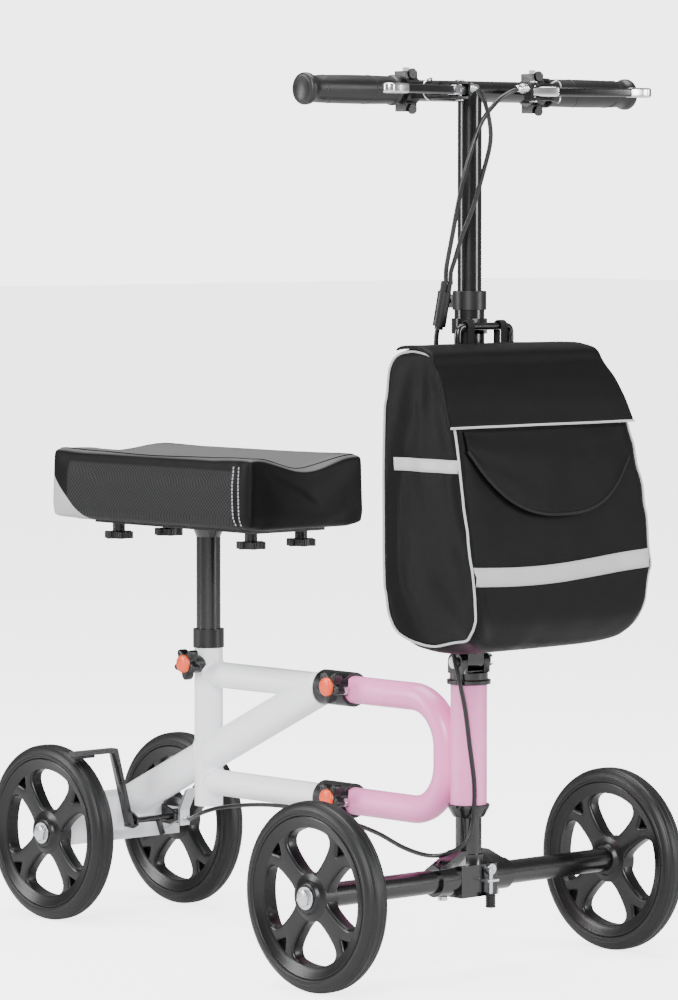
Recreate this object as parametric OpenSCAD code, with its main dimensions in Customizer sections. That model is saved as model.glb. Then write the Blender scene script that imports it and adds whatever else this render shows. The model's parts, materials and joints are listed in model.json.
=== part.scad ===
// Four-wheeled knee scooter: folding steering column, twin brake levers, raised knee pad and front bag.
// Front is -Y, the rider's right is -X, up is +Z. The origin is on the ground under the middle.

/* [Wheels] */
// Outer diameter of every tyre
wheel_d = 200; // [170:1:240]
// Width of every tyre
tyre_w = 28; // [23:1:34]
// Distance from the front axle to the rear axle
wheelbase = 586; // [490:1:700]
// Distance between the middles of the front tyres
front_track = 436; // [360:1:520]
// Distance between the middles of the rear tyres
rear_track = 193; // [190:1:240]
// Diameter of the wheel bolts
bolt_d = 10; // [8:0.5:12]

/* [Front frame] */
// Outer diameter of the head tube
head_d = 39; // [36:0.5:46]
// Inner diameter of the head tube
head_bore = 34; // [33:0.5:35.5]
// Outer diameter of the bent loop tube
loop_d = 30; // [25:0.5:32]
// Bend radius of the loop, measured at the middle of the tube
loop_bend = 52; // [40:1:56]
// Height from the lower tube to the upper tube
frame_rise = 122; // [118:1:150]
// Height of the lower tube above the axles
low_rise = 65; // [60:1:90]

/* [Rear frame] */
// Outer diameter of the two long rear tubes
main_d = 29; // [25:0.5:32]
// Width of the long slanted tube
slant_w = 30; // [24:1:34]
// Height of the slanted tube's section
slant_h = 39; // [34:1:44]
// Outer diameter of the seat tube
seat_tube_d = 32; // [31.5:0.5:38]
// Distance from the seat tube forward of the rear axle
seat_back = 162; // [140:1:190]
// Distance from the front axle back to the frame couplers
coupler_back = 180; // [165:1:210]
// Side of the square rear axle tube
axle_box = 30; // [25:1:34]
// Wall of the frame tubes
wall = 2; // [1.5:0.1:2.3]

/* [Steering] */
// Outer diameter of the steerer tube
steerer_d = 28; // [24:0.5:29]
// Outer diameter of the front axle tube
axle_d = 25.4; // [22:0.2:28]
// Height of the fold pivot above the head tube
fold_up = 24; // [22:1:32]
// Width of the fold bracket
fold_w = 41; // [38:1:50]
// Diameter of the fold bolt
fold_bolt_d = 8; // [6:0.5:10]

/* [Column and bar] */
// Outer diameter of the column tube
column_d = 31.8; // [30:0.2:36]
// Outer diameter of the sliding stem
stem_d = 25.4; // [22:0.2:27]
// Height of the column's clamp collar above the ground
collar_z = 704; // [660:1:760]
// Height of the handlebar above the ground
bar_z = 934; // [880:1:1100]
// Overall width across the grips
bar_w = 475; // [400:1:560]
// Outer diameter of the handlebar tube
bar_d = 22.2; // [20:0.2:25.4]
// Length of each grip
grip_len = 128; // [100:1:132]
// Diameter of the grips
grip_d = 29; // [27:0.5:34]

/* [Seat] */
// Height of the top of the knee pad above the ground
seat_z = 537; // [515:1:570]
// Length of the knee pad
pad_l = 335; // [290:1:380]
// Width of the knee pad
pad_w = 166; // [140:1:200]
// Thickness of the knee pad
pad_h = 79; // [60:1:90]
// Outer diameter of the seat post
post_d = 27.2; // [25:0.2:28]

/* [Bag] */
// Width of the bag
bag_w = 264; // [220:1:300]
// Distance from the steering axis forward to the front of the bag
bag_reach = 142; // [120:1:160]

/* [Clearances] */
// Radial clearance of shafts that turn or slide in a bore
run_gap = 0.05; // [0.02:0.01:0.1]
// Gap between faces of pieces that move past each other
face_gap = 0.4; // [0.3:0.1:0.8]

/* [Hidden] */
$fn = 64;

black = "#1d1d20";
dark = "#2a2a2d";
pink = "#ebb4d7";
white = "#f2f3f7";
orange = "#eb5a28";
silver = "#c4c6ca";

// Places of the axles, tubes and the steering axis
axle_z = wheel_d / 2;
front_y = -(wheelbase + wheel_d / 2 - bag_reach) / 2;
rear_y = front_y + wheelbase;
seat_y = rear_y - seat_back;
coupler_y = front_y + coupler_back;
low_z = axle_z + low_rise;
top_z = low_z + frame_rise;
head_z0 = low_z + 14;
head_z1 = top_z + 20;
loop_y = front_y + head_d / 2 + loop_d / 2 - 1.5;
fold_z = head_z1 + fold_up;

// Wheel section
tyre_h = 15;
rim_r = wheel_d / 2 - tyre_h;
rim_t = 11;
hole_r = rim_r - rim_t;
open_r = hole_r - 1.5;
hub_r = 22;
bearing_r = 11;
bearing_w = 8;
web_t = 17;
washer_r = 12;
washer_t = 2;

// Headset, fold bracket and column
cup_h = 14;
cup_rim = 5;
bearing_h = 8;
ear_r = 11;
ear_x = 12;
lever_h = 6;
cam_x = fold_w / 2 + 6;
column_z0 = fold_z + 14;
column_z1 = collar_z + 18;
collar_h = 20;
stem_in = 200;
hanger_z = collar_z - 17;
hanger_x = 60;
hanger_y = column_d / 2 + 6;
hanger_r = 4;

// Couplers, knobs and their studs
sleeve_t = 4;
sleeve_len = 48;
knob_r = 18.5;
knob_t = 12;
cap_r = 9.5;
cap_t = 3;
stud_r = 4;
boss_r = 9;
boss_end = 24.5;
knob_rise = 4;
knob_y = coupler_y + 4;

// Pinch lug at the front of each coupler
lug_x = loop_d / 2 + 4;
lug_y = 5;

// Seat
seat_tube_z0 = low_z - 27;
seat_tube_z1 = top_z + 30;
seat_collar_h = 21;
seat_knob_z = top_z + 12;
pad_z0 = seat_z - pad_h;
plate_t = 4;
plate_gap = 0.3;
pad_round = 12;
plate_z1 = pad_z0 - plate_gap;
plate_z0 = plate_z1 - plate_t;
post_z0 = seat_tube_z0 + 97;
pad_front = seat_y - 163;
plate_x = 52;
pad_knob_x = 37;
pad_knob_r = 17;
pad_knob_t = 8;
pad_knob_front = pad_front + 48;
pad_knob_rear = pad_front + 276;

// Lever group
lever_x = 54;
lever_y = 41;
clamp_x = 92;
adjuster_x = 36;
lever_t = 12;
button_h = 4;

// Front axle clamp
clamp_w = 26;
clamp_y = 17;
pin_x = 10;
pin_y = 23.5;
plate_pin_z = axle_z - 3;
plate_pin_t = 2.5;
pin_pull = 6;

// Rear brake
brake_y = rear_y - 56;
brake_z = axle_z + 12;
brake_rod_r = 3.5;
shoe_gap = 2.4;
strip_w = 12;
strip_t = 5;
shoe_z = axle_z + sqrt(pow(wheel_d / 2 + shoe_gap, 2) - pow(rear_y - brake_y - strip_w / 2, 2));
box_x = 35;
box_y0 = rear_y - 41;
box_z1 = axle_z + 39;
crank_x = 14;
stop_z = axle_z + 16;

// Slanted tube: its height at the seat tube, its slope, and its underside at a distance behind the seat tube
slant_z = low_z + 30;
slant_slope = atan((top_z - box_z1 + 14) / 341);
function slant_under(y) = slant_z - y * tan(slant_slope) - slant_h / 2 / cos(slant_slope);

// Cables: round points from the steering axis at ground level
cable_d = 5;
right_route = [[-35.6, -41, 937], [-30, -42, 936], [-24, -46, 925], [-19, -49, 905], [-14, -46, 881],
    [-17, -38, 848], [-22, -28, 812], [-27, -17, 783], [-30, -8, 755], [-31, -4, 744], [-31, -4, 736]];
left_route = [[35.6, -41, 937], [28, -42, 936], [14, -42, 931], [0, -40, 922], [-14, -34, 903],
    [-26, -31, 875], [-34, -26, 842], [-38, -20, 807], [-38, -12, 777], [-38, -6, 755], [-38, -4, 744],
    [-38, -4, 736]];
rear_route = [[-40, 7, 683.5], [-40, 9, 668], [-38, 10, 620], [-34, 8, 540], [-31, 4, 450], [-29, 0, 380],
    [-28, -6, 340], [-26, -14, 309], [-22, -18, 280], [-18, -20, 245], [-14, -23, 205], [-14, -23, 178],
    [-16, -22, 158], [-22, -20, 142], [-29, -13, 134], [-36, -2, 128], [-39, 14, 125], [-37, 38, 125],
    [-33, 70, 129], [-28, 110, 138], [-24, 152, 144], [-22, 205, 149], [-19, 265, 152], [-18, 323, 149],
    [-14, 385, 140], [-8, 425, 130], [2, 452, 121], [10, 468, 117], [14, 476, 116], [14, 481.8, 116]];
wire_route = [[14, 486.2, 116], [14, 502, 108.5], [14, 519.5, 100]];

// ---------- shared shapes ----------

module tube_x(r, x0, x1) translate([x0, 0, 0]) rotate([0, 90, 0]) cylinder(r = r, h = x1 - x0);

module tube_y(r, y0, y1) translate([0, y0, 0]) rotate([-90, 0, 0]) cylinder(r = r, h = y1 - y0);

module tube_z(r, z0, z1) translate([0, 0, z0]) cylinder(r = r, h = z1 - z0);

module ring_z(r_out, r_in, z0, z1) difference() {
    tube_z(r_out, z0, z1);
    tube_z(r_in, z0 - 1, z1 + 1);
}

module ring_x(r_out, r_in, x0, x1) difference() {
    tube_x(r_out, x0, x1);
    tube_x(r_in, x0 - 1, x1 + 1);
}

// Part of a torus in the YZ plane, from angle a0 to a1, measured from +Y towards +Z
module bend_yz(bend, r, a0, a1) rotate(a = 120, v = [1, 1, 1]) rotate([0, 0, a0])
    rotate_extrude(angle = a1 - a0) translate([bend, 0]) circle(r);

// Plate drawn as points [y, z] and as thick as x1 - x0
module plate_yz(points, x0, x1) translate([x0, 0, 0]) rotate(a = 120, v = [1, 1, 1])
    linear_extrude(x1 - x0) polygon(points);

function arc(c, r, a0, a1, n) = [for (i = [0:n]) c + r * [cos(a0 + (a1 - a0) * i / n),
    sin(a0 + (a1 - a0) * i / n)]];

function polar(r, a) = [r * cos(a), r * sin(a)];

module on_sides() {
    children();
    mirror([1, 0, 0]) children();
}

// Round tube swept along a list of points
function unit(v) = v / norm(v);

function tangent(p, i) = unit(p[min(i + 1, len(p) - 1)] - p[max(i - 1, 0)]);

function smooth_at(p, i, t) = let (a = p[max(i - 1, 0)], b = p[i], c = p[i + 1], d = p[min(i + 2, len(p) - 1)])
    0.5 * (2 * b + (c - a) * t + (2 * a - 5 * b + 4 * c - d) * t * t + (3 * b - a - 3 * c + d) * t * t * t);

function smooth_path(p, step) = concat([for (i = [0:len(p) - 2])
    let (n = max(1, round(norm(p[i + 1] - p[i]) / step))) for (k = [0:n - 1]) smooth_at(p, i, k / n)],
    [p[len(p) - 1]]);

function side_of(t, last) = unit(last - t * (last * t));

function sides(p, i = 0, last = [0.3, 0.5, 0.81]) = i >= len(p) ? [] :
    let (s = side_of(tangent(p, i), last)) concat([s], sides(p, i + 1, s));

module cable(route, d, step, n = 8) {
    p = smooth_path(route, step);
    s = sides(p);
    points = [for (i = [0:len(p) - 1]) for (k = [0:n - 1])
        let (t = tangent(p, i), b = cross(t, s[i])) p[i] + d / 2 * (s[i] * cos(360 * k / n) + b * sin(360 * k / n))];
    quads = [for (i = [0:len(p) - 2]) for (k = [0:n - 1])
        [i * n + k, (i + 1) * n + k, (i + 1) * n + (k + 1) % n, i * n + (k + 1) % n]];
    ends = [[for (k = [0:n - 1]) k], [for (k = [n - 1:-1:0]) (len(p) - 1) * n + k]];
    translate([0, front_y, 0]) polyhedron(points, concat(quads, ends));
}

// ---------- wheels, drawn round the X axis with the outer face to +X ----------

// One large opening of the wheel, from its sharp rim corner round to its blunt end
function leaf() = concat(arc([0, 0], open_r, 4, 56, 8), arc(polar(open_r - 13, 56), 13, 60, 190, 8),
    arc(polar(31, 28), 4, 190, 285, 3));

// Half section of the core as [radius, x]: rim, web, hub and the stepped bore for the bearings
function core_half() = [[bearing_r, tyre_w / 2], [hub_r, tyre_w / 2], [hub_r + 2, web_t / 2],
    [hole_r, web_t / 2], [hole_r + 2, tyre_w / 2 - 4], [rim_r - 2, tyre_w / 2 - 2], [rim_r, tyre_w / 2 - 3]];

function core_bore() = [[bolt_d / 2 + 1.5, tyre_w / 2 - bearing_w], [bearing_r, tyre_w / 2 - bearing_w]];

function flip_x(points) = [for (i = [len(points) - 1:-1:0]) [points[i][0], -points[i][1]]];

module opening(points) rotate(a = 120, v = [1, 1, 1]) translate([0, 0, -tyre_w])
    linear_extrude(2 * tyre_w) polygon(points);

module wheel_core() difference() {
    rotate([0, 90, 0]) rotate_extrude() polygon(concat(core_bore(), core_half(), flip_x(core_half()),
        flip_x(core_bore())));
    for (i = [0:3]) rotate([90 * i, 0, 0]) {
        opening(leaf());
        opening([polar(open_r, 73), polar(open_r, 88), polar(open_r - 20, 85)]);
    }
}

module wheel_tyre() rotate([0, 90, 0]) rotate_extrude($fn = 96) polygon(concat(
    [[rim_r + 0.05, -tyre_w / 2 + 1.5], [rim_r + 6, -tyre_w / 2]],
    arc([wheel_d / 2 - 9, -tyre_w / 2 + 9], 9, -90, 0, 5), arc([wheel_d / 2 - 9, tyre_w / 2 - 9], 9, 0, 90, 5),
    [[rim_r + 6, tyre_w / 2], [rim_r + 0.05, tyre_w / 2 - 1.5]]));

module wheel_bearings() for (side = [0, 180]) rotate([0, side, 0])
    ring_x(bearing_r - 0.02, bolt_d / 2 + run_gap, tyre_w / 2 - bearing_w, tyre_w / 2 - 0.5);

// Bolt through one wheel, with spacer, washer and domed head; inner is its inner end
module wheel_bolt(inner) {
    tube_x(bolt_d / 2, inner, tyre_w / 2 + face_gap);
    tube_x(bolt_d / 2 + 3, -tyre_w / 2 - face_gap - 0.6, -tyre_w / 2 - face_gap);
    tube_x(washer_r, tyre_w / 2 + face_gap, tyre_w / 2 + face_gap + washer_t);
    tube_x(bolt_d / 2 + 2, tyre_w / 2 + face_gap + washer_t, tyre_w / 2 + face_gap + washer_t + 2.8);
}

// Puts a wheel piece at its place: x is -1 for the right side and +1 for the left
module at_wheel(track, y, x) translate([x * track / 2, y, axle_z]) rotate([0, 0, x < 0 ? 180 : 0]) children();

module at_wheel_flip(track, y, x) translate([x * track / 2, y, axle_z]) mirror([x < 0 ? 1 : 0, 0, 0]) children();

module tyre_front_left() color(black) at_wheel(front_track, front_y, 1) wheel_tyre();

module tyre_front_right() color(black) at_wheel(front_track, front_y, -1) wheel_tyre();

module tyre_rear_left() color(black) at_wheel(rear_track, rear_y, 1) wheel_tyre();

module tyre_rear_right() color(black) at_wheel(rear_track, rear_y, -1) wheel_tyre();

module wheel_front_left() color(dark) at_wheel(front_track, front_y, 1) wheel_core();

module wheel_front_right() color(dark) at_wheel(front_track, front_y, -1) wheel_core();

module wheel_rear_left() color(dark) at_wheel(rear_track, rear_y, 1) wheel_core();

module wheel_rear_right() color(dark) at_wheel_flip(rear_track, rear_y, -1) wheel_core();

module bearings_front_left() color(silver) at_wheel(front_track, front_y, 1) wheel_bearings();

module bearings_front_right() color(silver) at_wheel(front_track, front_y, -1) wheel_bearings();

module bearings_rear_left() color(silver) at_wheel(rear_track, rear_y, 1) wheel_bearings();

module bearings_rear_right() color(silver) at_wheel(rear_track, rear_y, -1) wheel_bearings();

// ---------- frame ----------

module loop_path(r) {
    end_y = coupler_y + 20;
    for (z = [low_z, top_z]) translate([0, 0, z]) tube_y(r, loop_y + loop_bend, end_y);
    translate([0, loop_y, 0]) tube_z(r, low_z + loop_bend, top_z - loop_bend);
    translate([0, loop_y + loop_bend, top_z - loop_bend]) bend_yz(loop_bend, r, 90, 180);
    translate([0, loop_y + loop_bend, low_z + loop_bend]) bend_yz(loop_bend, r, 180, 270);
}

module front_frame() color(pink) difference() {
    union() {
        loop_path(loop_d / 2);
        translate([0, front_y, 0]) tube_z(head_d / 2, head_z0, head_z1);
    }
    loop_path(loop_d / 2 - wall);
    translate([0, front_y, 0]) tube_z(head_bore / 2, head_z0 - 1, head_z1 + 1);
}

// Long slanted tube from the upper tube, through the seat tube, to the rear axle box
module slant(w, h, y0, y1) {
    translate([0, seat_y, slant_z]) rotate([-slant_slope, 0, 0]) translate([0, y0, 0]) rotate([-90, 0, 0])
        linear_extrude(y1 - y0) {
            square([w, h - w], center = true);
            for (s = [-1, 1]) translate([0, s * (h - w) / 2]) circle(d = w);
        }
}

module rear_frame() color(white) difference() {
    union() {
        translate([0, seat_y, 0]) tube_z(seat_tube_d / 2, seat_tube_z0, seat_tube_z1);
        for (z = [low_z, top_z]) translate([0, 0, z]) tube_y(main_d / 2, coupler_y + 20.3, seat_y);
        slant(slant_w, slant_h, -208, 152);
        translate([-box_x, box_y0, axle_z]) cube([2 * box_x, rear_y + axle_box / 2 - box_y0, box_z1 - axle_z]);
        translate([0, rear_y, axle_z]) cube([rear_track - tyre_w - 3, axle_box, axle_box], center = true);
    }
    for (z = [low_z, top_z]) translate([0, 0, z]) tube_y(main_d / 2 - wall, coupler_y, seat_y - seat_tube_d / 2);
    slant(slant_w - 2 * wall, slant_h - 2 * wall, -150, -seat_tube_d / 2 - 4);
    slant(slant_w - 2 * wall, slant_h - 2 * wall, seat_tube_d / 2 + 4, 118);
    translate([-box_x + wall, box_y0 + wall, axle_z - 2])
        cube([2 * (box_x - wall), rear_y - axle_box / 2 - box_y0 - wall, box_z1 - axle_z - wall + 2]);
    translate([0, seat_y, 0]) tube_z(post_d / 2 + run_gap, seat_tube_z0 - 1, seat_tube_z1 + 1);
    translate([0, seat_y, seat_knob_z]) tube_x(stud_r + run_gap, -seat_tube_d, 0);
    translate([0, rear_y, axle_z]) tube_x(bolt_d / 2, -rear_track, rear_track);
}

module couplers() color(black) for (z = [low_z, top_z]) translate([0, 0, z]) difference() {
    union() {
        tube_y(loop_d / 2 + sleeve_t, coupler_y, coupler_y + sleeve_len);
        translate([0, knob_y, knob_rise]) tube_x(boss_r, -boss_end, 0);
        translate([-lug_x - 5, coupler_y - lug_y, -5]) cube([10, lug_y + 12, 10]);
    }
    tube_y(max(loop_d, main_d) / 2 + 0.1, coupler_y - 10, coupler_y + sleeve_len + 1);
    translate([0, knob_y, knob_rise]) tube_x(stud_r + run_gap, -boss_end - 1, 0);
}

module headset_cups() color(black) translate([0, front_y, 0]) {
    difference() {
        union() {
            translate([0, 0, head_z0 - cup_h]) cylinder(r1 = steerer_d / 2 + 2.5, r2 = head_d / 2 + 3, h = cup_h - 3);
            tube_z(head_d / 2 + 3, head_z0 - 3, head_z0);
        }
        tube_z(steerer_d / 2 + 0.3, head_z0 - cup_h - 1, head_z0 + 1);
    }
    ring_z(head_d / 2 + 4, steerer_d / 2 + 0.3, head_z1, head_z1 + cup_rim);
}

module headset_bearings() color(silver) translate([0, front_y, 0])
    for (z = [head_z0 + 2, head_z1 - 2 - bearing_h])
        ring_z(head_bore / 2 - 0.02, steerer_d / 2 + run_gap, z, z + bearing_h);

module seat_clamp() color(black) translate([0, seat_y, 0]) {
    ring_z(seat_tube_d / 2 + 1.5, post_d / 2 + run_gap, seat_tube_z1, seat_tube_z1 + seat_collar_h);
    translate([0, 0, seat_knob_z]) difference() {
        tube_x(boss_r + 1, -boss_end, 0);
        tube_x(stud_r + run_gap, -boss_end - 1, 0);
        translate([0, 0, -50]) cylinder(r = seat_tube_d / 2 + 0.02, h = 100);
    }
}

module rear_axle() color(silver) translate([0, rear_y, axle_z])
    tube_x(bolt_d / 2 - 0.02, -rear_track / 2 + 50, rear_track / 2 - 50);

module frame_fasteners() color(silver) {
    on_sides() translate([rear_track / 2, rear_y, axle_z]) wheel_bolt(-50);
    for (z = [low_z, top_z]) translate([-lug_x - 1, coupler_y - lug_y, z]) rotate([90, 0, 0]) {
        cylinder(r = 4, h = 3);
        cylinder(r = 2.2, h = 6);
    }
}

// ---------- steering ----------

module steerer_tube() color(black) translate([0, front_y, 0]) difference() {
    tube_z(steerer_d / 2, axle_z + axle_d / 2 + 0.5, fold_z - ear_r - 3);
    tube_z(steerer_d / 2 - wall, axle_z + axle_d / 2 - 1, fold_z - ear_r - 5);
}

module front_axle() color(black) translate([0, front_y, axle_z])
    ring_x(axle_d / 2, bolt_d / 2 + 0.02, -front_track / 2 + tyre_w / 2 + 1, front_track / 2 - tyre_w / 2 - 1);

module axle_clamp() color(black) translate([0, front_y, axle_z]) difference() {
    union() {
        tube_x(axle_d / 2 + 4, -52, 52);
        translate([-clamp_w, -clamp_y, -19]) cube([2 * clamp_w, 2 * clamp_y, 34]);
        translate([0, 10, 0]) rotate([90, 0, 0]) linear_extrude(20)
            polygon([[-50, 0], [-50, 14], [-20, 30], [20, 30], [50, 14], [50, 0]]);
        tube_z(steerer_d / 2 + 3, 0, 26);
    }
    tube_x(axle_d / 2 + 0.02, -60, 60);
    tube_z(steerer_d / 2 + 0.02, axle_d / 2 + 0.5, 40);
    on_sides() translate([38, 0, 0]) tube_z(3.02, -30, 30);
}

module front_fasteners() color(silver) {
    on_sides() translate([front_track / 2, front_y, axle_z]) wheel_bolt(-60);
    on_sides() translate([38, front_y, axle_z]) {
        tube_z(3, -20, -axle_d / 2);
        tube_z(5, -axle_d / 2 - 8.5, -axle_d / 2 - 4.2);
    }
    translate([pin_x + 6, front_y - clamp_y, axle_z + 9]) rotate([90, 0, 0]) cylinder(r = 6, h = 3);
    translate([pin_x, front_y - clamp_y, plate_pin_z]) difference() {
        translate([-8, clamp_y - pin_y - 5, 0]) cube([16, pin_y - clamp_y + 5, plate_pin_t]);
        translate([0, clamp_y - pin_y, -1]) cylinder(r = 2.5 + run_gap, h = 5);
    }
}

// Spring-loaded pull pin in front of the axle clamp, with a rubber pull
module axle_lock_pin() color(silver) translate([pin_x, front_y - pin_y, plate_pin_z]) {
    collar = plate_pin_t + pin_pull + face_gap;
    tube_z(2.5, -14, collar + 6);
    tube_z(3.2, collar, collar + 3);
    tube_z(5.5, -28, -13);
}

module fold_bracket() color(black) translate([0, front_y, fold_z]) difference() {
    union() {
        tube_z(fold_w / 2, -fold_up + cup_rim + face_gap, -ear_r - 0.5);
        on_sides() {
            tube_x(ear_r, ear_x, fold_w / 2);
            translate([ear_x, -ear_r, -ear_r - 1]) cube([fold_w / 2 - ear_x, 2 * ear_r, ear_r + 1]);
        }
    }
    tube_x(fold_bolt_d / 2, -fold_w, fold_w);
    tube_z(steerer_d / 2, -fold_up, -ear_r - 3);
}

// Bolt through the fold, with a head on the right and a fork for the quick-release lever on the left
module fold_bolt() color(silver) translate([0, front_y, fold_z]) {
    tube_x(fold_bolt_d / 2, -fold_w / 2, fold_w / 2);
    tube_x(fold_bolt_d / 2 + 2.5, -fold_w / 2 - 3, -fold_w / 2);
    difference() {
        tube_x(7, fold_w / 2, fold_w / 2 + 9.5);
        translate([fold_w / 2 + 1, -10, -lever_h / 2 - face_gap]) cube([20, 20, lever_h + 2 * face_gap]);
    }
    translate([cam_x, 0, 0]) tube_z(2, -5.5, 5.5);
}

// Quick-release lever of the fold, closed along the side of the bracket
module fold_lever() color(black) translate([cam_x, front_y, fold_z - lever_h / 2]) difference() {
    linear_extrude(lever_h) {
        circle(r = 4.5);
        polygon([[4, 0], [4.5, 30], [7, 44], [3, 45], [0.5, 30], [-2, 4]]);
    }
    tube_z(2 + run_gap, -1, lever_h + 1);
}

module column_tube() color(black) translate([0, front_y, 0]) difference() {
    union() {
        tube_z(column_d / 2, column_z0, column_z1);
        translate([0, 0, fold_z]) tube_x(ear_r, -ear_x + 0.3, ear_x - 0.3);
        translate([-ear_x + 0.3, -ear_r, fold_z]) cube([2 * ear_x - 0.6, 2 * ear_r, column_z0 + 1 - fold_z]);
    }
    tube_z(stem_d / 2 + run_gap, column_z0 + 6, column_z1 + 1);
    translate([0, 0, fold_z]) tube_x(fold_bolt_d / 2 + run_gap, -20, 20);
}

module height_collar() color(black) translate([0, front_y, collar_z]) {
    ring_z(column_d / 2 + 2, column_d / 2 + 0.02, 0, column_z1 - collar_z);
    ring_z(column_d / 2 + 2, stem_d / 2 + run_gap, column_z1 - collar_z, collar_h);
    translate([0, column_d / 2 + 2, 0]) difference() {
        translate([-8, -1.2, 2]) cube([16, 9, 14]);
        translate([0, 4, 9]) tube_x(2.5, -9, 9);
    }
}

// Clamp ring with a cross rod whose ends bend down
module bag_hanger() color(black) translate([0, front_y, hanger_z]) {
    difference() {
        union() {
            tube_z(column_d / 2 + 3, -8, 8);
            translate([-9, -hanger_y, -3]) cube([18, hanger_y, 6]);
        }
        tube_z(column_d / 2 + 0.02, -9, 9);
    }
    translate([0, -hanger_y, 0]) {
        tube_x(hanger_r, -hanger_x, hanger_x);
        on_sides() translate([hanger_x, 0, 0]) {
            sphere(r = hanger_r + 0.5);
            rotate([0, 140, 0]) cylinder(r = hanger_r, h = 12);
        }
    }
}

// Closed outline of the bag as [y, z], from the steering axis
function bag_outline() = let (f = -bag_reach, b = -column_d / 2 - 1.2, t = collar_z - 39) concat(
    [[b, 395], [b, t - 25]], arc([b - 22, t - 22], 22, 0, 90, 4), [[f + 78, t - 3]],
    [[f + 44, t - 48], [f + 20, t - 105], [f + 10, t - 150], [f + 2, t - 220]],
    arc([f + 40, 400], 40, 180, 240, 4), [[f + 60, 358], [b - 40, 360]], arc([b - 34, 394], 34, 280, 350, 4));

module bag() color(dark) translate([0, front_y, 0]) {
    plate_yz(bag_outline(), -bag_w / 2, bag_w / 2);
    on_sides() translate([hanger_x - 26, -hanger_y, hanger_z]) difference() {
        translate([0, -7, -26]) cube([18, 14, 33]);
        tube_x(hanger_r + 0.1, -1, 19);
    }
}

module cable_splitter() color(black) translate([-37.5, front_y + 2, 709]) rotate([10, 3, 0]) {
    tube_z(7, -22, 15);
    tube_z(4.5, -25.4, -22);
    for (x = [-3.6, 3.6]) translate([x, -1, 0]) tube_z(3.4, 15, 26);
}

// ---------- handlebar ----------

module stem_tube() color(black) translate([0, front_y, 0]) difference() {
    tube_z(stem_d / 2, collar_z - stem_in, bar_z);
    tube_z(stem_d / 2 - wall, collar_z - stem_in - 1, bar_z - bar_d / 2 - 3);
    translate([0, 0, bar_z]) tube_x(bar_d / 2 + 0.02, -30, 30);
}

module handlebar() color(black) translate([0, front_y, bar_z])
    ring_x(bar_d / 2, bar_d / 2 - wall, -bar_w / 2 + 3.5, bar_w / 2 - 3.5);

module grips() color(dark) on_sides() translate([bar_w / 2, front_y, bar_z]) difference() {
    rotate([0, 90, 0]) rotate_extrude() polygon([[0, -grip_len], [grip_d / 2 + 2, -grip_len],
        [grip_d / 2 + 2, -grip_len + 4], [grip_d / 2, -grip_len + 8], [grip_d / 2 + 0.6, -grip_len / 2],
        [grip_d / 2, -20], [grip_d / 2 - 1, -12], [grip_d / 2 + 1.5, -7], [grip_d / 2 + 1.5, -1.5],
        [grip_d / 2, 0], [0, 0]]);
    tube_x(bar_d / 2 + 0.02, -grip_len - 1, -3.4);
}

// Clamp and housing of one brake lever, on the +X side
module lever_bracket() translate([0, front_y, bar_z]) difference() {
    union() {
        tube_x(bar_d / 2 + 4, clamp_x - 9, clamp_x + 9);
        translate([clamp_x - 8, -9, 0]) cube([16, 18, 20]);
        translate([clamp_x - 8, -8, -22]) cube([16, 16, 22]);
        translate([0, 0, -9]) linear_extrude(18) polygon([[clamp_x - 9, 0], [clamp_x - 9, -20],
            [clamp_x - 22, -32], [lever_x + 8, -lever_y + 8], [lever_x - 4, -lever_y + 9],
            [lever_x - 10, -lever_y + 4], [lever_x - 10, -lever_y - 6], [lever_x - 4, -lever_y - 9],
            [lever_x + 7, -lever_y - 7], [clamp_x - 8, -lever_y], [clamp_x + 4, -18], [clamp_x + 4, 0]]);
    }
    tube_x(bar_d / 2 + 0.02, 0, clamp_x + 30);
    translate([0, 0, -lever_t / 2 - face_gap]) linear_extrude(lever_t + 2 * face_gap) polygon(
        [[lever_x - 7, -lever_y - 20], [lever_x - 7, -lever_y + 5], [lever_x + 4, -lever_y + 7],
        [clamp_x - 22, -31], [clamp_x - 4, -30], [clamp_x + 20, -30], [clamp_x + 20, -lever_y - 20]]);
    translate([lever_x, -lever_y, 0]) tube_z(2.5, -12, 12);
    translate([clamp_x, 0, 14]) tube_z(3.5 + run_gap, 0, 10);
}

module lever_brackets() color(black) on_sides() lever_bracket();

module cable_adjusters() color(silver) on_sides() translate([0, front_y - lever_y, bar_z]) {
    translate([0, 0, 3]) tube_x(4.5, adjuster_x, lever_x - 10);
    translate([lever_x, 0, 0]) tube_z(2.5, -11, 11);
    translate([lever_x, 0, 0]) tube_z(4.5, 9, 11);
    translate([lever_x, 0, 0]) tube_z(4.5, -11, -9);
}

// Blade of one lever, on the +X side
module lever_blade() color(silver) translate([0, front_y, bar_z]) difference() {
    translate([lever_x, -lever_y, -lever_t / 2]) linear_extrude(lever_t) polygon(concat(
        arc([0, 0], 6, 60, 230, 8), [[20, -16], [66, -29], [112, -39], [127, -40.5]],
        arc([134, -35], 6.5, -140, 130, 8), [[118, -30], [70, -19], [24, -4]]));
    translate([lever_x, -lever_y, 0]) tube_z(2.5 + run_gap, -20, 20);
}

module brake_lever_left() lever_blade();

module brake_lever_right() mirror([1, 0, 0]) lever_blade();

// Parking lock button on top of a bracket
module lock_button(x) color(white) translate([x * clamp_x, front_y, bar_z + 14]) tube_z(3.5, 4.5, 6 + button_h);

module lock_button_left() lock_button(1);

module lock_button_right() lock_button(-1);

// ---------- seat ----------

module seat_post() color(black) translate([0, seat_y, 0]) difference() {
    union() {
        tube_z(post_d / 2, post_z0, plate_z0);
        translate([0, 0, plate_z0 - 12]) cylinder(r1 = post_d / 2, r2 = post_d / 2 + 5, h = 12);
    }
    tube_z(post_d / 2 - wall, post_z0 - 1, plate_z0 - 14);
}

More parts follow.
